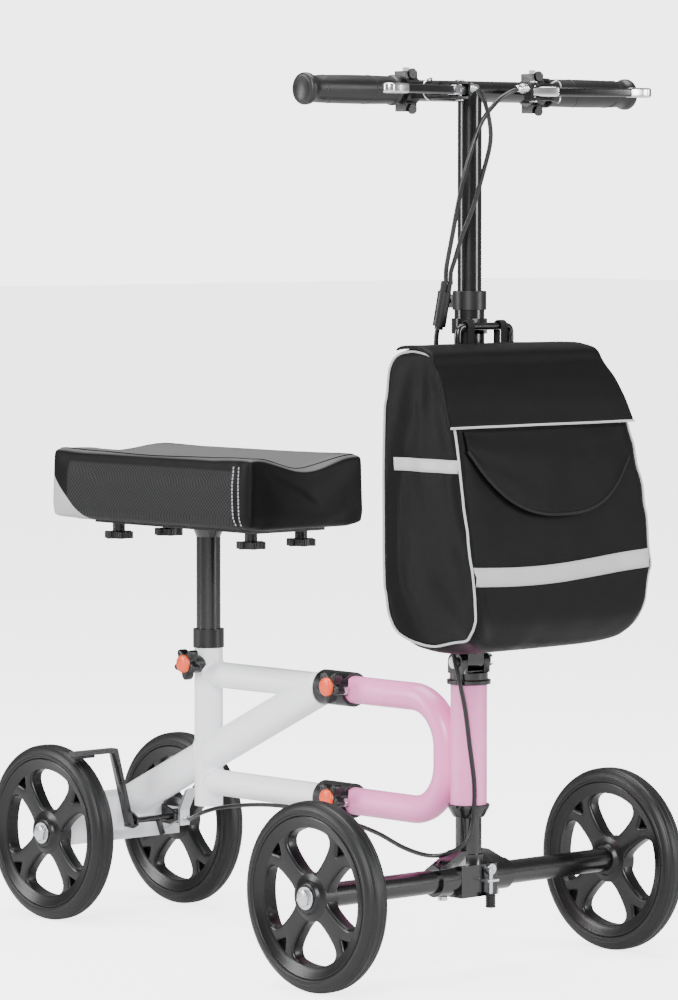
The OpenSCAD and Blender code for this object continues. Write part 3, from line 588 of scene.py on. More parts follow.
def merge_into(bm, form, matrix=None):
    """Adds one finished form to another mesh, moved by the matrix, and frees it."""
    if matrix is not None:
        form.transform(matrix)
    mesh = bpy.data.meshes.new("form")
    form.to_mesh(mesh)
    form.free()
    bm.from_mesh(mesh)
    bpy.data.meshes.remove(mesh)


def revolve(bm, outline, matrix=None, steps=96):
    """Adds a lathe-turned form. Its closed outline is in millimetres along and away from the X axis."""
    form = bmesh.new()
    verts = [form.verts.new((along * MM, away * MM, 0)) for along, away in outline]
    edges = [form.edges.new((verts[i - 1], verts[i])) for i in range(len(verts))]
    bmesh.ops.spin(form, geom=verts + edges, cent=(0, 0, 0), axis=(1, 0, 0), angle=math.tau, steps=steps,
                   use_merge=True)
    merge_into(bm, form, matrix)


def flat_form(bm, outlines, thickness, rounding, matrix=None, steps=3, round_outer=True):
    """Adds a flat form. The outlines are in the XY plane in millimetres, holes after the first."""
    form = bmesh.new()
    edges, outer = [], set()
    for outline in outlines:
        verts = [form.verts.new((x * MM, y * MM, -thickness / 2 * MM)) for x, y in outline]
        edges += [form.edges.new((verts[i - 1], verts[i])) for i in range(len(verts))]
        if outline is outlines[0]:
            outer = {(round(v.co.x, 7), round(v.co.y, 7)) for v in verts}
    filled = bmesh.ops.triangle_fill(form, use_beauty=True, use_dissolve=False, edges=edges)
    faces = [g for g in filled["geom"] if isinstance(g, bmesh.types.BMFace)]
    raised = bmesh.ops.extrude_face_region(form, geom=faces, use_keep_orig=True)
    top = [g for g in raised["geom"] if isinstance(g, bmesh.types.BMVert)]
    bmesh.ops.translate(form, verts=top, vec=(0, 0, thickness * MM))
    bmesh.ops.recalc_face_normals(form, faces=form.faces[:])
    rims = [e for e in form.edges if len(e.link_faces) == 2
            and sum(abs(f.normal.z) > 0.9 for f in e.link_faces) == 1
            and (round_outer or not all((round(v.co.x, 7), round(v.co.y, 7)) in outer for v in e.verts))]
    if rounding:
        bmesh.ops.bevel(form, geom=rims, offset=rounding * MM, offset_type="OFFSET", segments=steps,
                        profile=0.5, affect="EDGES", material=-1, clamp_overlap=False)
    merge_into(bm, form, matrix)


def arc(centre, radius, start, end, count):
    return [(centre[0] + radius * math.cos(math.radians(start + (end - start) * i / count)),
             centre[1] + radius * math.sin(math.radians(start + (end - start) * i / count)))
            for i in range(count + 1)]


def polar(radius, angle):
    return radius * math.cos(math.radians(angle)), radius * math.sin(math.radians(angle))


def smooth_path(points, step):
    """Points on a smooth line through the given ones, about a step apart, in metres."""
    points = [Vector(p) for p in points]
    line = []
    for i in range(len(points) - 1):
        a, b, c, d = points[max(i - 1, 0)], points[i], points[i + 1], points[min(i + 2, len(points) - 1)]
        count = max(1, round((c - b).length / step))
        for k in range(count):
            t = k / count
            line.append(0.5 * (2 * b + (c - a) * t + (2 * a - 5 * b + 4 * c - d) * t * t
                               + (3 * b - a - 3 * c + d) * t ** 3))
    return line + [points[-1]]


def swept(points, radius, sides=12, cyclic=False, radii=None):
    """Mesh of a round tube along points in metres."""
    curve = bpy.data.curves.new("sweep", "CURVE")
    curve.dimensions = "3D"
    curve.bevel_depth = radius
    curve.bevel_resolution = max(1, sides // 4 - 1)
    curve.use_fill_caps = not cyclic
    spline = curve.splines.new("POLY")
    spline.points.add(len(points) - 1)
    for i, (knot, point) in enumerate(zip(spline.points, points)):
        knot.co = (*point, 1)
        knot.radius = radii[i] if radii else 1
    spline.use_cyclic_u = cyclic
    holder = bpy.data.objects.new("sweep", curve)
    bpy.context.scene.collection.objects.link(holder)
    depsgraph = bpy.context.evaluated_depsgraph_get()
    mesh = bpy.data.meshes.new_from_object(holder.evaluated_get(depsgraph))
    bpy.data.objects.remove(holder)
    bpy.data.curves.remove(curve)
    bm = bmesh.new()
    bm.from_mesh(mesh)
    settle(bm)
    bm.to_mesh(mesh)
    bm.free()
    return mesh


def joined(meshes):
    bm = bmesh.new()
    for mesh in meshes:
        bm.from_mesh(mesh)
    return bm


def softened(node, material, width=None, angle=30, steps=2):
    """A CAD node's own form with rounded edges, in its place."""
    bm = bmesh.new()
    bm.from_mesh(NODES[node].data)
    bmesh.ops.remove_doubles(bm, verts=bm.verts[:], dist=2e-6)
    bmesh.ops.dissolve_degenerate(bm, dist=2e-6, edges=bm.edges[:])
    bmesh.ops.dissolve_limit(bm, angle_limit=math.radians(0.6), verts=bm.verts[:], edges=bm.edges[:])
    for layer in list(bm.loops.layers.float_vector):
        bm.loops.layers.float_vector.remove(layer)
    piece = add_piece(node + "_form", bm, material, body_of(node), [node])
    bevel = piece.modifiers.new("Edges", "BEVEL")
    bevel.width = width if width is not None else sizes().edge
    bevel.segments = steps
    bevel.limit_method = "ANGLE"
    bevel.angle_limit = math.radians(angle)
    bevel.profile = 0.5
    bevel.use_clamp_overlap = True
    return piece


def baked(piece):
    """The mesh that a piece's modifiers give."""
    depsgraph = bpy.context.evaluated_depsgraph_get()
    return bpy.data.meshes.new_from_object(piece.evaluated_get(depsgraph))


def surface_tree(mesh):
    bm = bmesh.new()
    bm.from_mesh(mesh)
    tree = BVHTree.FromBMesh(bm)
    bm.free()
    return tree


def put_on(tree, origin, direction, lift):
    """Where a ray meets a surface, and a lift above it."""
    spot, normal, _, _ = tree.ray_cast(Vector(origin), Vector(direction))
    if spot is None:
        spot, normal, _, _ = tree.find_nearest(Vector(origin))
    return spot + normal * lift, normal


def simulate(piece, voxel, pressure, cap, gravity=0.0, pinned=None, stiffness=15.0):
    """Inflates a piece as cloth, keeps each point within the cap, and leaves a plain mesh."""
    remesh = piece.modifiers.new("Cells", "REMESH")
    remesh.mode = "VOXEL"
    remesh.voxel_size = voxel
    old = piece.data
    piece.data = baked(piece)
    piece.modifiers.clear()
    bpy.data.meshes.remove(old)
    rest = [v.co.copy() for v in piece.data.vertices]
    cloth = piece.modifiers.new("Cloth", "CLOTH")
    settings = cloth.settings
    settings.quality = 4
    settings.mass = 0.15
    settings.tension_stiffness = settings.compression_stiffness = stiffness
    settings.use_pressure = True
    settings.uniform_pressure_force = pressure
    settings.effector_weights.gravity = gravity
    cloth.collision_settings.use_collision = False
    if pinned:
        group = piece.vertex_groups.new(name="Held")
        group.add([i for i, co in enumerate(rest) if pinned(co)], 1.0, "REPLACE")
        settings.vertex_group_mass = "Held"
    cloth.point_cache.frame_start = 1
    cloth.point_cache.frame_end = sizes().steps
    scene = bpy.context.scene
    for step in range(1, sizes().steps + 1):
        scene.frame_set(step)
    moved = [v.co.copy() for v in baked(piece).vertices]
    piece.modifiers.clear()
    piece.vertex_groups.clear()
    scene.frame_set(1)
    for vertex, start, end in zip(piece.data.vertices, rest, moved):
        shift = end - start
        if shift.length > cap:
            shift *= cap / shift.length
        vertex.co = start + shift
    piece.data.update()


def smoothed(mesh, rounds, factor=0.5):
    bm = bmesh.new()
    bm.from_mesh(mesh)
    for _ in range(rounds):
        bmesh.ops.smooth_vert(bm, verts=bm.verts[:], factor=factor, use_axis_x=True, use_axis_y=True,
                              use_axis_z=True)
    bm.to_mesh(mesh)
    bm.free()
    mesh.update()


def fitted(mesh, low, high):
    """Stretches a mesh to fill a box."""
    least = Vector(tuple(min(v.co[i] for v in mesh.vertices) for i in range(3)))
    most = Vector(tuple(max(v.co[i] for v in mesh.vertices) for i in range(3)))
    for vertex in mesh.vertices:
        for i in range(3):
            share = (vertex.co[i] - least[i]) / (most[i] - least[i])
            vertex.co[i] = low[i] + (high[i] - low[i]) * share
    mesh.update()


def add_subdivision(piece, levels=1):
    modifier = piece.modifiers.new("Smooth", "SUBSURF")
    modifier.levels = modifier.render_levels = levels
    return modifier


# ---------- operators ----------


class ScooterOperator:
    bl_options = {"REGISTER", "UNDO"}

    def execute(self, context):
        self.build()
        return {"FINISHED"}


class SCOOTER_OT_frame(ScooterOperator, bpy.types.Operator):
    """Paint the frame, the column and the tubes, and lay the weld beads"""

    bl_idname = "scooter.frame"
    bl_label = "Frame and tubes"

    def build(self):
        give_finish(pink_paint(), "front_frame")
        give_finish(black_paint(), "steerer_tube", "front_axle", "column_tube", "stem_tube", "handlebar")
        give_finish(zinc(), "rear_axle", "headset_bearings")
        softened("rear_frame", white_paint(), 0.0022, steps=3)
        self.welds()

    def bead(self, name, colour, loops, slot, body):
        """Rippled beads along closed lines."""
        meshes = []
        for points, radius in loops:
            ripple = [1 + 0.16 * math.sin(i * 1.9) + 0.1 * noise.noise(p * 400) for i, p in enumerate(points)]
            meshes.append(swept(points, radius, 8, cyclic=True, radii=ripple))
        add_piece(name, joined(meshes), weld_bead(name.replace("_", " ").capitalize(), colour), body)

    def welds(self):
        head_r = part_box("headset_cups")[1].x - 4 * MM
        low_z, top_z = (middle("star_knob_" + where).z - 4 * MM for where in ("lower", "upper"))
        # the loop's upright run lies along the head tube: two long beads joined round its bends
        line = []
        for side in (1, -1):
            z0, z1 = low_z + 52 * MM, top_z - 52 * MM
            heights = [z0 + (z1 - z0) * i / 40 for i in range(41)]
            y = STEER_Y + head_r - 0.8 * MM
            line += [Vector((side * 5.2 * MM, y, z)) for z in (heights if side > 0 else reversed(heights))]
        self.bead("loop_weld", colours().pink, [(line, 2.1 * MM)], "pink_paint", "frame")
        # round the white tubes where they meet the seat tube
        seat = middle("seat_post")
        seat_r = 16 * MM
        loops = []
        for z in (low_z, top_z):
            ring = []
            for i in range(72):
                a = math.tau * i / 72
                x, up = 14.5 * MM * math.sin(a), 14.5 * MM * math.cos(a)
                ring.append(Vector((x, seat.y - math.sqrt(seat_r ** 2 - x ** 2), z + up)))
            loops.append((ring, 2.0 * MM))
        slope = math.radians(25.4)
        centre_z = low_z + 30 * MM
        for sign in (-1, 1):
            ring = []
            for i in range(84):
                a = math.tau * i / 84
                x = 15 * MM * math.sin(a)
                up = 15 * MM * math.cos(a) + (4.5 * MM if math.cos(a) > 0 else -4.5 * MM)
                y = sign * math.sqrt(seat_r ** 2 - x ** 2)
                # the tube slopes down to the rear
                z = centre_z + (up / math.cos(slope)) - y * math.tan(slope)
                ring.append(Vector((x, seat.y + y, z)))
            loops.append((ring, 2.0 * MM))
        self.bead("seat_tube_welds", colours().white, loops, "white_paint", "frame")


def wheel_matrix(name):
    """Places a wheel drawn round the X axis with its outer face towards +X."""
    centre = middle("tyre_" + name)
    turn = Matrix.Rotation(math.pi, 4, "Z") if name == "front_right" else Matrix.Identity(4)
    if name == "rear_right":
        turn = Matrix.Scale(-1, 4, (1, 0, 0))
    return Matrix.Translation(centre) @ turn


class SCOOTER_OT_wheels(ScooterOperator, bpy.types.Operator):
    """Build four tyres and their swirled wheels"""

    bl_idname = "scooter.wheels"
    bl_label = "Wheels"

    RIM = 85.0
    OPEN = 72.5

    def tyre_outline(self):
        half = [(0, 99.5), (1.6, 99.5), (2.0, 100.0), (4.6, 99.85), (5.0, 99.3), (5.9, 99.2), (6.3, 99.55),
                (8.6, 98.6), (9.0, 97.9), (9.7, 97.5), (10.2, 97.6), (11.9, 95.8), (13.1, 93.4),
                (13.75, 91.3), (13.55, 90.8), (13.6, 90.3), (14.0, 89.9), (13.95, 88.3), (13.3, 87.9),
                (13.2, 87.4), (13.5, 86.9), (13.2, 86.0), (12.3, 85.2)]
        return half + [(-x, r) for x, r in reversed(half[1:])]

    def rim_outline(self):
        half = [(11.2, 85.0), (12.6, 84.6), (13.1, 83.6), (12.6, 82.4), (10.6, 78.4), (9.6, 75.6),
                (9.0, 73.4), (8.2, 72.4)]
        return half + [(-x, r) for x, r in reversed(half)]

    def hub_outline(self):
        half = [(13.4, 11.1), (14.0, 11.6), (14.0, 14.8), (13.5, 15.8), (11.6, 16.9), (9.6, 19.6),
                (8.2, 25.0)]
        return half + [(-x, r) for x, r in reversed(half)]

    def opening(self):
        side = [(24.6, 9), (27, 17), (31, 23), (37, 27), (44, 29.4), (51, 30.6), (58, 31), (63.5, 30.4),
                (67.6, 28.4), (70.4, 25), (71.9, 20.5), (self.OPEN, 14), (self.OPEN, 7)]
        line = [(24, 0)] + side + [(self.OPEN, 0)] + [(r, -a) for r, a in reversed(side)]
        return [polar(r, 5 + a) for r, a in line]

    def window(self):
        side = [(self.OPEN - 9.4, 0.9), (self.OPEN - 5.5, 2.6), (self.OPEN - 2, 4.6), (self.OPEN - 0.6, 4.8),
                (self.OPEN, 3.8)]
        line = [(self.OPEN - 10.6, 0)] + side + [(self.OPEN, 0)] + [(r, -a) for r, a in reversed(side)]
        return [polar(r, 50 + a) for r, a in line]

    def build(self):
        for name in CORNERS:
            place = wheel_matrix(name)
            body = "wheel_" + name + "_body"
            tyre = bmesh.new()
            revolve(tyre, self.tyre_outline(), steps=128)
            bmesh.ops.transform(tyre, matrix=place, verts=tyre.verts[:])
            settle(tyre)
            add_piece("tyre_" + name + "_tread", tyre, tyre_rubber(), body, ["tyre_" + name])
            core = bmesh.new()
            holes = []
            for i in range(4):
                for shape in (self.opening(), self.window()):
                    turn = math.radians(90 * i)
                    holes.append([(x * math.cos(turn) - y * math.sin(turn),
                                   x * math.sin(turn) + y * math.cos(turn)) for x, y in shape])
            disc = arc((0, 0), 76, 0, 360 - 360 / 96, 95)
            bore = arc((0, 0), 18, 0, 360 - 360 / 48, 47)
            flat_form(core, [disc] + holes + [bore], 16.6, 3.6, UPRIGHT, steps=4, round_outer=False)
            revolve(core, self.rim_outline(), steps=128)
            revolve(core, self.hub_outline(), steps=64)
            bmesh.ops.transform(core, matrix=place, verts=core.verts[:])
            settle(core)
            add_piece("wheel_" + name + "_core", core, wheel_plastic(), body,
                      ["wheel_" + name], 40)
            give_finish(zinc(), "bearings_" + name)
        self.bolt_heads("front", "steerer")
        self.bolt_heads("rear", "frame")

    def bolt_heads(self, end, body):
        """A hexagon head with a chamfer on each outer washer."""
        heads = bmesh.new()
        for side, sign in SIDES.items():
            head = bmesh.new()
            bmesh.ops.create_cone(head, cap_ends=True, segments=6, radius1=9.4 * MM, radius2=9.4 * MM,
                                  depth=3.6 * MM)
            tops = [e for e in head.edges if e.verts[0].co.z > 0 and e.verts[1].co.z > 0]
            bmesh.ops.bevel(head, geom=tops, offset=0.9 * MM, segments=2, profile=0.5, affect="EDGES",
                            material=-1)
            spot = middle(f"tyre_{end}_{side}") + Vector((sign * (14.4 + 2 + 1.8) * MM, 0, 0))
            turn = Matrix.Rotation(sign * math.pi / 2, 4, "Y") @ Matrix.Rotation(0.3, 4, "Z")
            merge_into(heads, head, Matrix.Translation(spot) @ turn)
        settle(heads)
        add_piece(f"bolt_heads_{end}", heads, zinc(), body)


class SCOOTER_OT_knobs(ScooterOperator, bpy.types.Operator):
    """Build the star knobs with their orange caps, and soften the round knobs under the pad"""

    bl_idname = "scooter.knobs"
    bl_label = "Clamp knobs"

    def lobes(self):
        """Outline of five round lobes with hollows between them."""
        line = []
        for i in range(120):
            a = math.tau * i / 120
            line.append((-(14.6 + 3.9 * math.cos(5 * a)) * math.cos(a),
                         (14.6 + 3.9 * math.cos(5 * a)) * math.sin(a)))
        return line

    def build(self):
        stand = Matrix.Rotation(-math.pi / 2, 4, "Y")
        for where, body in (("upper", "knob_upper"), ("lower", "knob_lower"), ("seat", "knob_seat")):
            node = "star_knob_" + where
            low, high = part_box(node)
            centre = Vector((low.x + 9 * MM, (low.y + high.y) / 2, (low.z + high.z) / 2))
            knob = bmesh.new()
            flat_form(knob, [self.lobes()], 12, 2.6, Matrix.Translation(centre) @ stand, steps=4)
            stud = high.x - centre.x
            revolve(knob, [(0, 0), (0, 4), (stud / MM, 4), (stud / MM, 0)],
                    Matrix.Translation(centre), steps=24)
            settle(knob)
            add_piece(node + "_grip", knob, black_plastic(), body, [node], 40)
            cap = bmesh.new()
            dome = [(0, 0), (0, 10.2), (-1.6, 10.2), (-2.9, 9.7), (-3.7, 8.6), (-4.2, 6.0), (-4.5, 3.0),
                    (-4.55, 0)]
            revolve(cap, dome, Matrix.Translation(centre - Vector((5.9 * MM, 0, 0))), steps=48)
            settle(cap)
            add_piece(node + "_cap", cap, knob_orange(), body, sharp=50)
        for name in CORNERS:
            softened("pad_knob_" + name, black_plastic(), 0.0012, steps=3)


class SCOOTER_OT_clamps(ScooterOperator, bpy.types.Operator):
    """Soften and finish the clamps, the headset, the fold bracket and the bolts"""

    bl_idname = "scooter.clamps"
    bl_label = "Clamps and brackets"

    def build(self):
        for node in ("couplers", "seat_clamp", "cable_splitter", "height_collar"):
            softened(node, black_plastic(), 0.0011, steps=3)
        for node in ("headset_cups", "axle_clamp", "fold_bracket", "brake_bracket", "brake_arm",
                     "seat_plate", "fold_lever"):
            softened(node, black_paint(), 0.0008)
        for node in ("frame_fasteners", "front_fasteners", "fold_bolt", "cable_stop"):
            softened(node, zinc(), 0.0005)
        softened("brake_pad", tyre_rubber(), 0.0008)
        give_finish(black_paint(), "seat_post")
        self.hanger()
        self.lock_pin()
        self.pinch_bolts()

    def hanger(self):
        """The hanger's clamp and its rod, whose ends bend down to the bag."""
        form = bmesh.new()
        form.from_mesh(NODES["bag_hanger"].data)
        bmesh.ops.remove_doubles(form, verts=form.verts[:], dist=2e-6)
        for sign in SIDES.values():
            bmesh.ops.bisect_plane(form, geom=form.verts[:] + form.edges[:] + form.faces[:], clear_outer=True,
                                   plane_co=(sign * 0.03, 0, 0), plane_no=(sign, 0, 0))
        low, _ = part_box("bag_hanger")
        y = low.y / MM - STEER_Y / MM + 4
        bend = [(38, -27), (38, -19), (38, -8), (36.4, -2.4), (31, 0), (24, 0)]
        route = [(-x, y, ROD_Z + z) for x, z in bend] + [(x, y, ROD_Z + z) for x, z in reversed(bend)]
        rod = swept(smooth_path([from_axis(*p) for p in route], 0.0015), 0.004, 16)
        form.from_mesh(rod)
        add_piece("bag_hanger_form", form, black_paint(), body_of("bag_hanger"),
                  ["bag_hanger"], 40)

    def lock_pin(self):
        """A silver pin with a collar and a ribbed rubber pull."""
        low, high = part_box("axle_lock_pin")
        centre = Vector(((low.x + high.x) / 2, (low.y + high.y) / 2, 0))
        down = Matrix.Translation(centre) @ Matrix.Rotation(-math.pi / 2, 4, "Y")
        z0, z1 = low.z / MM, high.z / MM
        pull = bmesh.new()
        line = [(z0, 0), (z0, 4.6), (z0 + 0.6, 5.4)]
        for i in range(5):
            base = z0 + 1 + i * 2.6
            line += [(base + 0.4, 5.5), (base + 1.5, 5.5), (base + 1.8, 4.9), (base + 2.3, 4.9)]
        line += [(z0 + 14.2, 5.3), (z0 + 15, 4.4), (z0 + 15, 0)]
        revolve(pull, line, down, steps=32)
        settle(pull)
        add_piece("axle_lock_pull", pull, grip_rubber(), "axle_lock", sharp=40)
        pin = bmesh.new()
        revolve(pin, [(z0 + 14.6, 0), (z0 + 14.6, 2.5), (z0 + 36.9, 2.5), (z0 + 36.9, 2.9),
                      (z0 + 37.3, 3.2), (z0 + 39.5, 3.2), (z0 + 39.9, 2.9), (z0 + 39.9, 2.5),
                      (z1 - 0.6, 2.5), (z1, 1.9), (z1, 0)], down, steps=32)
        settle(pin)
        add_piece("axle_lock_shaft", pin, zinc(), "axle_lock", ["axle_lock_pin"], 40)

    def pinch_bolts(self):
        """The hexagon bolt head on each coupler's lug."""
        low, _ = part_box("couplers")
        bolts = bmesh.new()
        for node in ("star_knob_lower", "star_knob_upper"):
            z = middle(node).z - 4 * MM
            spot = Vector((-20 * MM, low.y - 3.4 * MM, z))
            made = bmesh.ops.create_cone(bolts, cap_ends=True, segments=6, radius1=4.2 * MM, radius2=3.9 * MM,
                                         depth=2.8 * MM)
            turn = Matrix.Translation(spot) @ Matrix.Rotation(math.pi / 2, 4, "X")
            bmesh.ops.transform(bolts, matrix=turn, verts=made["verts"])
        settle(bolts)
        add_piece("coupler_bolt_heads", bolts, zinc(), "frame")


class SCOOTER_OT_bar(ScooterOperator, bpy.types.Operator):
    """Build the grips, the brake levers and their small parts"""

    bl_idname = "scooter.bar"
    bl_label = "Grips and levers"

    def grip_outline(self, length):
        """Closed section of a grip, from its inner collar out to the rounded end."""
        line = [(0, 11.3), (0, 14.9), (0.8, 15.9), (3.4, 15.9), (4.2, 15.2), (5.0, 14.6)]
        line += [(along, 14.5 + 0.5 * math.sin(math.pi * (along - 5) / (length - 36)))
                 for along in range(8, int(length) - 22, 6)]
        line += [(length - 22, 14.2), (length - 16, 13.9), (length - 12.5, 14.2), (length - 9.8, 15.3),
                 (length - 8.2, 16.2), (length - 5.6, 16.7), (length - 2.6, 16.6), (length - 1.2, 15.9),
                 (length - 0.3, 14.4), (length, 12.5), (length - 0.7, 11.6), (length - 0.7, 0)]
        return line + [(length - 4, 0), (length - 4, 11.3)]

    def blade_outline(self):
        """Curved lever blade in plan, from its pivot to the ball end."""
        back = [(20, -15.2), (34, -20.4), (50, -25), (66, -29), (82, -32.8), (98, -36.2), (112, -39),
                (122, -40.6)]
        front = [(121, -30.6), (110, -28.4), (96, -25.2), (82, -21.6), (66, -17.6), (50, -13.2), (36, -8.8),
                 (24, -4)]
        return arc((0, 0), 6, 60, 230, 12) + back + arc((131.5, -35), 6.6, -125, 120, 12) + front

    def build(self):
        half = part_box("grips")[1].x
        length = 128.0
        grips, ribs = bmesh.new(), bmesh.new()
        for sign in SIDES.values():
            turn = Matrix.Rotation(math.pi, 4, "Z") if sign < 0 else Matrix.Identity(4)
            place = Matrix.Translation((sign * (half - length * MM), STEER_Y, BAR_Z)) @ turn
            revolve(grips, self.grip_outline(length), place, steps=72)
        tree = BVHTree.FromBMesh(grips)
        for sign in SIDES.values():
            self.palm_lines(ribs, sign, half, tree)
        settle(grips)
        add_piece("grip_sleeves", grips, grip_rubber(), "bar", ["grips"], 40)
        settle(ribs)
        add_piece("grip_ribs", ribs, grip_rubber(), "bar")
        for side, sign in SIDES.items():
            self.lever(side, sign)
        softened("lever_brackets", black_plastic(), 0.0014, steps=3)
        softened("cable_adjusters", alloy(), 0.0006)
        give_finish(clear_plastic(), "lock_button_left", "lock_button_right")
        self.bracket_parts()

    def palm_lines(self, bm, sign, half, tree):
        """Three raised lines that slant round the grip."""
        for start, slant in ((30, 9), (33, 9), (88, -5)):
            line = []
            for i in range(61):
                a = math.tau * i / 60
                x = sign * (half - (start + slant * math.cos(a + 0.6)) * MM)
                away = Vector((0, math.cos(a), math.sin(a)))
                origin = Vector((x, STEER_Y, BAR_Z)) + away * 0.05
                spot, _ = put_on(tree, origin, -away, 0.0001)
                line.append(spot)
            bm.from_mesh(swept(line[:-1], 0.45 * MM, 8, cyclic=True))

    def lever(self, side, sign):
        pivot = Vector((sign * PIVOT_X * MM, STEER_Y - PIVOT_AHEAD * MM, BAR_Z))
        place = Matrix.Translation(pivot) @ (Matrix.Scale(-1, 4, (1, 0, 0)) if sign < 0
                                             else Matrix.Identity(4))
        blade = bmesh.new()
        flat_form(blade, [self.blade_outline()], 9.2, 2.2, place, steps=4)
        settle(blade)
        node = "brake_lever_" + side
        add_piece(node + "_blade", blade, black_paint(), "lever_" + side, [node], 40)
        tip = bmesh.new()
        ball = arc((131.5, -35), 7.3, -125, 120, 12)
        outline = [(108, -39.2), (122, -41.9)] + ball + [(121, -29.2), (109, -27)]
        flat_form(tip, [outline], 10.4, 2.4, place, steps=4)
        outline = arc((0, 0), 7.2, 60, 230, 12) + [(17, -16), (21, -16.8), (25, -3), (18, 1.5)]
        flat_form(tip, [outline], 10.4, 2.0, place, steps=3)
        settle(tip)
        add_piece(node + "_ends", tip, alloy(), "lever_" + side, sharp=40)

    def bracket_parts(self):
        """Clamp screws, each lever's spring wire and three rings on each barrel adjuster."""
        metal, rings, screws = bmesh.new(), bmesh.new(), bmesh.new()
        for sign in SIDES.values():
            for dz, dy in ((-19.5, -4.5), (17.5, -5.0)):
                spot = Vector((sign * 92 * MM, STEER_Y - (9.4 + dy * 0.1) * MM, BAR_Z + dz * MM))
                revolve(screws, [(-2.4, 0), (-2.4, 2.6), (-1.8, 4.6), (-0.6, 5.3), (2.0, 5.3), (2.0, 0)],
                        Matrix.Translation(spot) @ Matrix.Rotation(1.5 * math.pi, 4, "Z"), steps=28)
            for x in (37.5, 40.0, 42.5):
                place = Matrix.Translation((sign * x * MM, STEER_Y - PIVOT_AHEAD * MM, BAR_Z + 3 * MM))
                revolve(rings, [(-0.7, 4.3), (-0.7, 5.2), (0.7, 5.2), (0.7, 4.3)], place, steps=32)
            self.wire_spring(metal, sign)
        settle(metal)
        add_piece("lever_springs", metal, zinc(), "bar", sharp=40)
        settle(screws)
        add_piece("bracket_screws", screws, black_plastic(), "bar", sharp=40)
        settle(rings)
        add_piece("adjuster_rings", rings, alloy(), "bar", sharp=40)

    def wire_spring(self, bm, sign):
        loop = [(86, -32, 8), (92, -38, 12), (99, -36, 8), (100, -34, 0), (99, -36, -7), (94, -38, -11),
                (88, -33, -9)]
        line = smooth_path([Vector((sign * x * MM, STEER_Y + y * MM, BAR_Z + z * MM)) for x, y, z in loop],
                           0.002)
        bm.from_mesh(swept(line, 0.9 * MM, 8))


